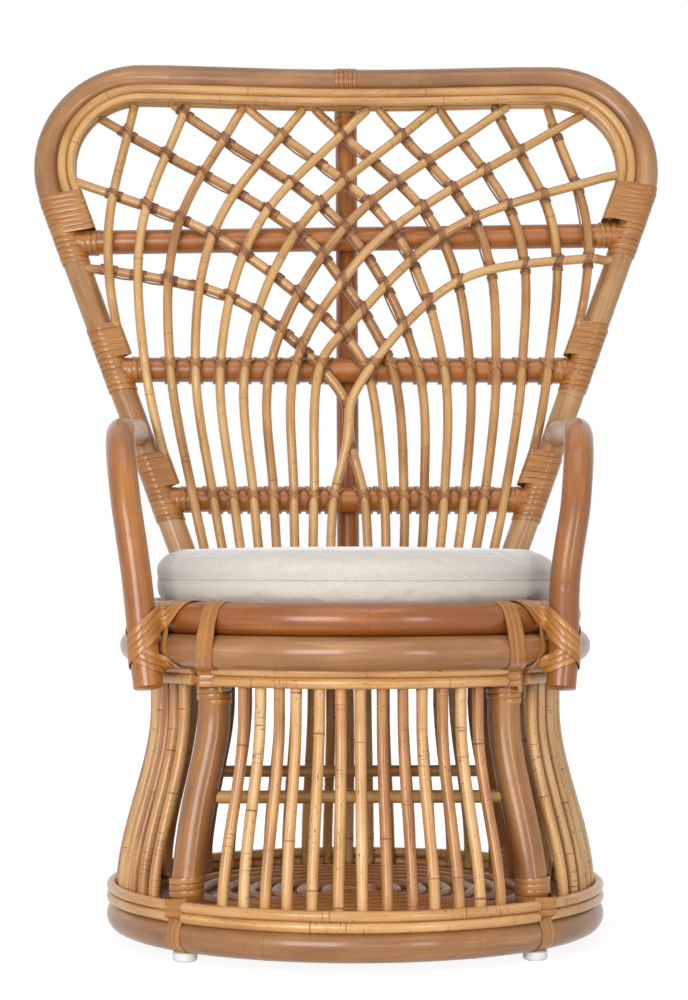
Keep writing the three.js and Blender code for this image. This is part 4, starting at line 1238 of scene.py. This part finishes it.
BINDING_ROOM = 0.025
rail_skins = []
for level in ("lower", "middle"):
    for (place, i), rod in rods.items():
        k = int(np.abs(rod[:, 1] - RAILS[level]).argmin())
        passes = abs(rod[k, 1] - RAILS[level]) < ROD_R
        beside_binding = abs(rod[k, 0]) > pole_x(RAILS[level]) - POLE_R - BINDING_ROOM
        if passes and not beside_binding:
            rail_skins += rail_lashing(rod, k, RAILS[level])
make_piece("rail_lashings", rail_skins, tie_finish)
print("rods tied to rails:", len(rail_skins) // (2 * TIE_STRIPS), made_pieces[-1])

# %% [markdown]
# ## Lashings on the legs
# Three strands go up the front of each leg, over both seat rings and under the cushion. Turns round
# the leg hold them: first round the leg and the strands, then round the leg alone. The foot of the leg
# is bound in the same way, and its strands loop the base ring.

# %% Leg lashings
seat_ring, upper_ring, base_ring = (
    (ring_path(radius, height, 0.0, samples=900), pole)
    for radius, pole, height in map(ring_sizes, ("seat_ring_lower", "seat_ring_upper", "base_ring"))
)
ring_poles = [seat_ring, upper_ring]
base_poles = [base_ring]
STRANDS_TOP = np.array([
    (169, 185, 327), (171.5, 189, 329), (176, 202, 329), (177.5, 218, 338.5), (177, 226, 348),
    (173, 215, 386), (161, 201, 406.6), (150, 187, 401),
]) / 1000
STRANDS_FOOT = np.array([
    (204, 202, 64), (208.5, 207.5, 47), (212.5, 212.5, 29), (199, 199, 9.8), (186, 186, 15),
]) / 1000
LEG_ALONE = [(0, 0, LEG_R)]
TOP_BUNDLE = LEG_ALONE + [(0.0312, 0.0105, 0.0035), (0.0312, -0.0105, 0.0035)]
FOOT_BUNDLE = LEG_ALONE + [(0.0285, 0.0100, 0.0026), (0.0285, -0.0100, 0.0026)]
LEG_COILS = (  # end of the leg, strands to face, height of the first turn, what is bound, turns, steps
    (-1, STRANDS_TOP, 0.3310, TOP_BUNDLE, 3.5, 48),
    (-1, STRANDS_TOP, 0.3085, LEG_ALONE, 2.5, 36),
    (0, STRANDS_FOOT, 0.0930, LEG_ALONE, 3, 36),
    (0, STRANDS_FOOT, 0.0720, FOOT_BUNDLE, 3, 48),
)
for place, (side, depth) in CORNERS.items():
    flip = np.array([side, depth, 1])
    leg = [(leg_paths[place], LEG_R)]
    skins = band(STRANDS_TOP * flip, ring_poles + leg, WIDE, 3)
    skins += band(STRANDS_FOOT * flip, base_poles + leg, MEDIUM, 3)
    for end, strands, height, bundle, turns, steps in LEG_COILS:
        axis = leg_paths[place][end] * (1, 1, 0)
        facing = unit((strands[1] * flip - axis) * (1, 1, 0))
        start = axis + height * UP
        skins.append(winding(start, -UP, facing, bundle, MEDIUM, turns, steps, 0.5, tone(0.05)))
    make_piece("leg_lashing_" + place, skins, peel_finish)
print("leg lashings:", made_pieces[-4:])

# %% [markdown]
# ## Lashings on the arms and back poles
# An arm stands outside the lower seat ring and is tied to both rings. A band of four strips rises
# across its face from under the lower ring to over the upper one, a band of three falls the other way
# below it, and one strip goes down behind the arm's edge. The back poles are tied in the same way. The
# guides are drawn in millimetres, outwards, sideways and upwards from the middle of the ring's pole.

# %% Arm and back pole lashings
RISING = np.array([
    (-16, -30, -13), (-2, -28, -20.5), (14, -25, -17), (30, -19, -13), (38, -18, -11), (50, -11, -6),
    (53.5, 2.3, 4), (46.5, 14.5, 15), (33, 18, 27), (21, 13.5, 37), (8, 14, 46), (-11, 18, 57),
    (-26, 20, 50),
]) / 1000
FALLING = np.array([
    (-26, -22, 50), (-11, -20, 57), (6, -19, 48), (22, -19, 34), (38, -18.5, 20), (50, -11, 8),
    (53.5, 2.3, 0), (46.5, 14.5, -6), (33, 18.5, -12), (20, 19, -17), (8, 20, -19.5), (-4, 22, -21),
    (-17, 24, -12),
]) / 1000
BEHIND = np.array([
    (-24, -10, 51), (-11, -7, 56.2), (4, -2, 48), (8.6, 4, 38), (10, 9, 28), (15.5, 13, 12),
    (19.5, 17, 0), (14, 21, -13), (2, 24, -19.6), (-12, 27, -15),
]) / 1000
OVER_FALLING = 0.0013
LEANING = (0.008, 0.03)  # outwards from the ring, the guides take on the pole's lean between these
ARM_COLLAR = 0.031  # from the back pole's skin to the last turn of the collar behind the arm


def tied_pole(angle, inwards_turn, pole_path, lean):
    """The bands on a pole that stands against the seat ring at an angle. The guides lean with it."""
    foot = on_circle(seat_radius, angle, seat_height)
    out_way, side_way = outward_at(angle), outward_at(angle + inwards_turn)
    poles = ring_poles + [(pole_path, POLE_R)]
    skins = []
    for guide, count, lift in ((BEHIND, 1, SEATED), (FALLING, 3, SEATED), (RISING, 4, OVER_FALLING)):
        out, aside, up = guide.T
        path = foot + np.outer(out, out_way) + np.outer(aside, side_way) + np.outer(up, UP)
        path = path + np.outer(up * smoothstep(out, *LEANING), lean)
        skins += band(path, poles, MEDIUM, count, lift, 12)
    return skins


for place, side in SIDES.items():
    arm_angle = -ARM_ANGLE[place] if side > 0 else math.pi + ARM_ANGLE[place]
    lean = np.array([side * ARM_SPREAD[place], ARM_SETBACK, 0]) / ARM_RISE
    skins = tied_pole(arm_angle, -side * math.pi / 2, evenly(arm_paths[place], 0.002), lean)
    back = arm_ways(place)[-1]
    collar = towards(side, arm_rear - back * (POLE_R + ARM_COLLAR))
    skins.append(winding(collar, towards(side, back), UP, [(0, 0, POLE_R)], WIDE, 3, 36))
    make_piece("arm_lashing_" + place, skins, peel_finish)
    back_pole = evenly(towards(side, frame_half), 0.002)
    back_angle = math.atan2(back_foot[1], side * BACK_FOOT)
    lean = np.array([side * math.tan(LEAN), math.sin(RECLINE), 0]) / math.cos(RECLINE)
    skins = tied_pole(back_angle, side * math.pi / 2, back_pole, lean)
    make_piece("back_lashing_" + place, skins, peel_finish)
print("arm and back lashings:", made_pieces[-4:])

# %% [markdown]
# ## Glides
# The glides are small white discs of moulded plastic with a rounded lower edge, so each is a profile
# turned round an upright axis.

# %% Glides
GLIDE_R = 0.014
GLIDE_HEIGHT = 0.010
GLIDE_ROUNDING = 0.004
GLIDE_TOP = 0.8  # the top is this share of the radius, and lies inside the ring
GLIDE_SET_IN = 0.001


def glide_finish():
    """Plain white plastic with a faint moulding texture."""
    material, tree, shader = blank("white_plastic")
    place = add(tree, "TexCoord").outputs["Object"]
    noise = stretched_noise(place, (900, 900, 900), 2)
    plain = shaded(noise, (0.0, 1.0), ((226, 226, 222), (244, 244, 242)))
    link(plain, shader.inputs["Base Color"])
    shader.inputs["Roughness"].default_value = 0.45
    return material


plastic = glide_finish()
corner = np.radians(np.linspace(-90, 0, 7))
radii = GLIDE_R + GLIDE_ROUNDING * (np.cos(corner) - 1)
radii = np.append(radii, [GLIDE_R, GLIDE_R * GLIDE_TOP])
heights = GLIDE_ROUNDING * (np.sin(corner) + 1)
heights = np.append(heights, [GLIDE_HEIGHT, GLIDE_HEIGHT + GLIDE_SET_IN])
disc = on_circle(radii[:, None], full_turn(32), heights[:, None])
for place, (side, depth) in CORNERS.items():
    grid = disc + on_circle(base_radius, math.atan2(depth, side), 0.0)
    dress("foot_glide_" + place, [skin(grid, grid, 0.0, 0.0)], plastic)
print("glides:", made_pieces[-4:])

# %% [markdown]
# ## Cushion
# The cushion is a round foam pad in a plain off-white cover, sewn from two pieces that meet in a seam
# round the middle of its side. It is inflated a little by cloth simulation with the seam held fast, so
# the cover swells above and below the seam. Where it lies on the deck it is flat.

# %% Cushion form
CUSHION_R = 0.243
CUSHION_THICKNESS = 0.065
CUSHION_BACK_GAP = 0.006
cushion_floor = deck_height + DECK_ROD_R + FIT
cushion_back = on_back(0.0, cushion_floor - seat_height, ROD_FRONT + ROD_R)[1] - CUSHION_BACK_GAP
SEAM_SHARE = 0.46
SEAM_PINCH = 0.0024
WELT_R = 0.0007
SHRINK = 0.002
LOW_CORNER = 0.011
HIGH_CORNER = 0.017
CROWN = 0.004
FULLNESS = 0.001  # the new pad stands a little over its own thickness
PRESS_POWER = 14  # how sharply the cushion turns from round to flat at its back
PAD_EYE = 0.002


def cushion_outline(radius, turn):
    """A circle whose back is pressed flat: the radius over a high root of one plus the same power of
    how far it would reach, as a share of the way to the back rods."""
    wall = np.clip(np.sin(turn), 0, 1) * CUSHION_R / cushion_back
    return radius * (1 + wall**PRESS_POWER) ** (-1 / PRESS_POWER)


def closed_loop(grid):
    """A skin over a section carried round a closed loop, so it has no ends."""
    points = grid.reshape(-1, 3)
    index = np.arange(len(points)).reshape(grid.shape[:2])
    beside = np.roll(index, -1, axis=1)
    after, across = np.roll(index, -1, axis=0), np.roll(beside, -1, axis=0)
    quads = np.stack([index, after, across, beside], axis=-1).reshape(-1, 4)
    plain = np.zeros(len(points))
    no_tris = np.empty((0, 3), int)
    return dict(points=points, quads=quads, tris=no_tris, grain=points, mark=plain, tone=plain)


def cushion_grid(columns):
    """A pad turned round an upright axis. Its section is a box with rounded corners and a crowned top,
    and its back is pressed flat."""
    wide, thick = CUSHION_R - SHRINK, CUSHION_THICKNESS - 2 * SHRINK + FULLNESS
    low, high = np.radians(np.linspace(-90, 0, 8)), np.radians(np.linspace(0, 90, 10))
    under = np.linspace(PAD_EYE, wide - LOW_CORNER, 24)[:-1]
    over = np.linspace(wide - HIGH_CORNER, PAD_EYE, 24)[1:]
    edge = thick - CROWN
    radius = [under, wide - LOW_CORNER * (1 - np.cos(low)), wide - HIGH_CORNER * (1 - np.cos(high)), over]
    crown = edge + CROWN * (1 - (over / (wide - HIGH_CORNER)) ** 2)
    height = [0 * under, LOW_CORNER * (1 + np.sin(low)), edge - HIGH_CORNER * (1 - np.sin(high)), crown]
    radius, height = np.concatenate(radius), np.concatenate(height) + SHRINK
    turn = full_turn(columns)
    out = cushion_outline(radius[:, None], turn)
    return on_circle(out, turn, cushion_floor + height[:, None])


def cloth_finish(name, low, high):
    """A plain linen weave: threads of uneven thickness both ways, with a soft sheen."""
    material, tree, shader = blank(name)
    weave = attribute(tree, "grain", "Vector")
    warp = stretched_noise(weave, (1400, 90, 90), 2)
    weft = stretched_noise(weave, (90, 1400, 90), 2)
    broad = stretched_noise(weave, (26, 26, 26), 2)
    threads = times(plus(warp, weft), 0.5)
    level = plus(times(threads, 0.92), times(broad, 0.08))
    link(shaded(level, (0.36, 0.62), (low, high)), shader.inputs["Base Color"])
    bumped(shader, threads, 0.35, 0.0006)
    shader.inputs["Roughness"].default_value = 0.9
    shader.inputs["Sheen Weight"].default_value = 1.0
    shader.inputs["Sheen Roughness"].default_value = 0.5
    return material


linen = cloth_finish("off_white_linen", (198, 190, 179), (216, 209, 198))
# painted shade: the welt is drawn in darker linen to stand for the shade in the seam's groove
seam_shade_linen = cloth_finish("seam_shade_linen", (176, 167, 154), (204, 196, 184))
form = cushion_grid(120)
pad = dress("seat_cushion", [skin(form, form, 0.0, 0.0)], linen, "cushion")

# %% Inflate the cushion
PAD_VOXEL = 0.005
PAD_MOST_SWELL = 0.004
PAD_PRESSURE = 1.2
PAD_STIFFNESS = 12
PAD_BENDING = 0.4
PAD_STEPS = 20
SEAM_HOLD = 0.19  # points near the seam's height are held where they are further out than this


def coordinates(mesh):
    """The mesh's points as an array."""
    flat = np.empty(len(mesh.vertices) * 3, np.float32)
    mesh.vertices.foreach_get("co", flat)
    return flat.reshape(-1, 3).astype(float)


def evaluated_copy(piece):
    """The piece's mesh with its modifiers applied."""
    graph = bpy.context.evaluated_depsgraph_get()
    return bpy.data.meshes.new_from_object(piece.evaluated_get(graph))


remesh = pad.modifiers.new("Even faces", "REMESH")
remesh.mode = "VOXEL"
remesh.voxel_size = PAD_VOXEL
remesh.use_smooth_shade = True
pad.data = evaluated_copy(pad)
pad.modifiers.clear()
seam_height = cushion_floor + SEAM_SHARE * CUSHION_THICKNESS
before = coordinates(pad.data)
held = pad.vertex_groups.new(name="seam")
at_height = np.abs(before[:, 2] - seam_height) < PAD_VOXEL * 0.6
at_edge = np.hypot(before[:, 0], before[:, 1] - MIDDLE[1]) > SEAM_HOLD
held.add(np.flatnonzero(at_height & at_edge).tolist(), 1.0, "REPLACE")
cloth = pad.modifiers.new("Cover", "CLOTH")
cloth.settings.use_pressure = True
cloth.settings.uniform_pressure_force = PAD_PRESSURE
cloth.settings.effector_weights.gravity = 0
cloth.settings.vertex_group_mass = "seam"
cloth.settings.tension_stiffness = PAD_STIFFNESS
cloth.settings.compression_stiffness = PAD_STIFFNESS
cloth.settings.bending_stiffness = PAD_BENDING
for step in range(1, PAD_STEPS + 1):
    bpy.context.scene.frame_set(step)
swollen = coordinates(evaluated_copy(pad))
pad.modifiers.clear()
bpy.context.scene.frame_set(1)
move = swollen - before
far = np.linalg.norm(move, axis=1, keepdims=True)
move = move * np.minimum(1, PAD_MOST_SWELL / np.maximum(far, 1e-9))
before = before + move
print("cushion swells by at most", round(float(far.max()), 4))

# %% Finish the cushion
PINCH_HEIGHT = 0.004
PINCH_EDGE = (0.17, 0.20)  # the seam's pinch sets in between these radii
NEXT_PIECE = 5.0  # the lower piece of the cover is cut from another place in the cloth
flat_pad = before - MIDDLE
flat_pad[:, 2] = np.maximum(flat_pad[:, 2], cushion_floor)
height = flat_pad[:, 2]
out = np.hypot(flat_pad[:, 0], flat_pad[:, 1])
pinch = SEAM_PINCH * np.exp(-(((height - seam_height) / PINCH_HEIGHT) ** 2)) * smoothstep(out, *PINCH_EDGE)
flat_pad[:, :2] *= (1 - pinch / np.maximum(out, 1e-6))[:, None]
pad.data.vertices.foreach_set("co", (flat_pad + MIDDLE).astype(np.float32).ravel())
upper = height > seam_height
down_the_side = np.where(upper, np.abs(height - cushion_floor - CUSHION_THICKNESS), height - cushion_floor)
stretch = (out + down_the_side) / np.maximum(out, 1e-6)
laid = np.column_stack([flat_pad[:, :2] * stretch[:, None], np.where(upper, 0.0, NEXT_PIECE)])
weave_places = pad.data.attributes.new("grain", "FLOAT_VECTOR", "POINT")
weave_places.data.foreach_set("vector", laid.astype(np.float32).ravel())
pad.data.shade_smooth()
pad.data.update()
finer = pad.modifiers.new("Finer", "SUBSURF")
finer.levels = finer.render_levels = 1

turn, section = full_turn(240)[:, None], full_turn(8)
welt_out = cushion_outline(CUSHION_R - SHRINK - SEAM_PINCH / 2, turn) + WELT_R * np.cos(section)
welt = on_circle(welt_out, turn, seam_height + WELT_R * np.sin(section))
make_piece("seam_welt", [closed_loop(welt)], seam_shade_linen, body="cushion")
print("cushion points:", len(pad.data.vertices), "top at", round(float(flat_pad[:, 2].max()), 4))

# %% [markdown]
# ## Floor, light and camera
# A pale floor and a white surround, as in a studio. The floor shows white to the camera and keeps part
# of its own shading, so the chair's shadow stays. Two large soft lamps stand in front and one above.

# %% Floor and surround
WHITE = (1.0, 1.0, 1.0, 1.0)
SHADOW_SHARE = 0.24
SHADOW_REACH = (0.7, 1.7)  # from the chair's middle the floor fades to plain white between these
FLOOR_GLOW = 1.18
FLOOR_HALF = 14.0
FILL = 0.30  # strength of the light from all round


def seen_directly(tree):
    """1 for rays from the camera, from a mirror or through glass, and 0 for light that fills the scene."""
    rays = add(tree, "LightPath")
    bright = combined("MAXIMUM", rays.outputs["Is Camera Ray"], rays.outputs["Is Glossy Ray"])
    return combined("MAXIMUM", bright, rays.outputs["Is Transmission Ray"])


floor_mesh = bpy.data.meshes.new("floor")
corners = [(x * FLOOR_HALF, y * FLOOR_HALF, 0) for x, y in ((-1, -1), (1, -1), (1, 1), (-1, 1))]
floor_mesh.from_pydata(corners, [], [(0, 1, 2, 3)])
floor = bpy.data.objects.new("floor", floor_mesh)
bpy.context.scene.collection.objects.link(floor)
floor_finish, tree, shader = blank("pale_floor")
shader.inputs["Base Color"].default_value = (0.86, 0.86, 0.86, 1)
shader.inputs["Roughness"].default_value = 0.9
glow = add(tree, "Emission", strength=FLOOR_GLOW)
glow.inputs["Color"].default_value = WHITE
away = add(tree, "VectorMath", operation="LENGTH")
link(add(tree, "TexCoord").outputs["Object"], away.inputs[0])
white_share = ranged(away.outputs["Value"], *SHADOW_REACH, 1 - SHADOW_SHARE, 1.0)
blend = add(tree, "MixShader")
link(times(seen_directly(tree), white_share), blend.inputs[0])
link(shader.outputs[0], blend.inputs[1])
link(glow.outputs[0], blend.inputs[2])
link(blend.outputs[0], tree.nodes["Material Output"].inputs["Surface"])
floor_mesh.materials.append(floor_finish)
floor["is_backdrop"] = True

world = bpy.data.worlds.new("white_surround")
bpy.context.scene.world = world
world.use_nodes = True
tree = world.node_tree
background = tree.nodes["Background"]
background.inputs["Color"].default_value = WHITE
strength = times(seen_directly(tree), 1.0 - FILL)
link(plus(strength, FILL), background.inputs["Strength"])

# %% Lamps
AIM = np.array([0.0, MIDDLE[1], 0.55])


def soft_lamp(name, place, power, width, height):
    """A flat lamp that faces the chair."""
    lamp = bpy.data.lights.new(name, "AREA")
    lamp.shape = "RECTANGLE"
    lamp.energy = power
    lamp.size = width
    lamp.size_y = height
    held = bpy.data.objects.new(name, lamp)
    held.location = place
    held.rotation_euler = (Vector(AIM) - held.location).to_track_quat("-Z", "Y").to_euler()
    bpy.context.scene.collection.objects.link(held)


soft_lamp("key", (-1.05, -2.9, 0.95), 54, 1.4, 1.3)
soft_lamp("fill", (1.5, -2.9, 0.75), 18, 0.6, 1.2)
soft_lamp("above", (0.0, -1.0, 2.8), 13, 1.8, 1.4)

# %% Camera
CAMERA_PLACE = np.array([-0.0933, -3.0486, 0.470])
CAMERA_TURN = math.radians(1.5)
CAMERA_TILT = math.radians(1.054)
FOCAL_PIXELS = 2505
FRAME_PIXELS = 1000
camera_data = bpy.data.cameras.new("camera")
camera_data.sensor_width = 36
camera_data.lens = FOCAL_PIXELS / FRAME_PIXELS * camera_data.sensor_width
camera = bpy.data.objects.new("camera", camera_data)
camera.location = CAMERA_PLACE + MIDDLE
camera.rotation_euler = (math.pi / 2 + CAMERA_TILT, 0, -CAMERA_TURN)
bpy.context.scene.collection.objects.link(camera)
bpy.context.scene.camera = camera
bpy.context.scene.view_settings.view_transform = "Standard"

# %% Sizes
low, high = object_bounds()
print("triangles:", sum(count for _, count in made_pieces), "size:", [round(v, 4) for v in high - low])
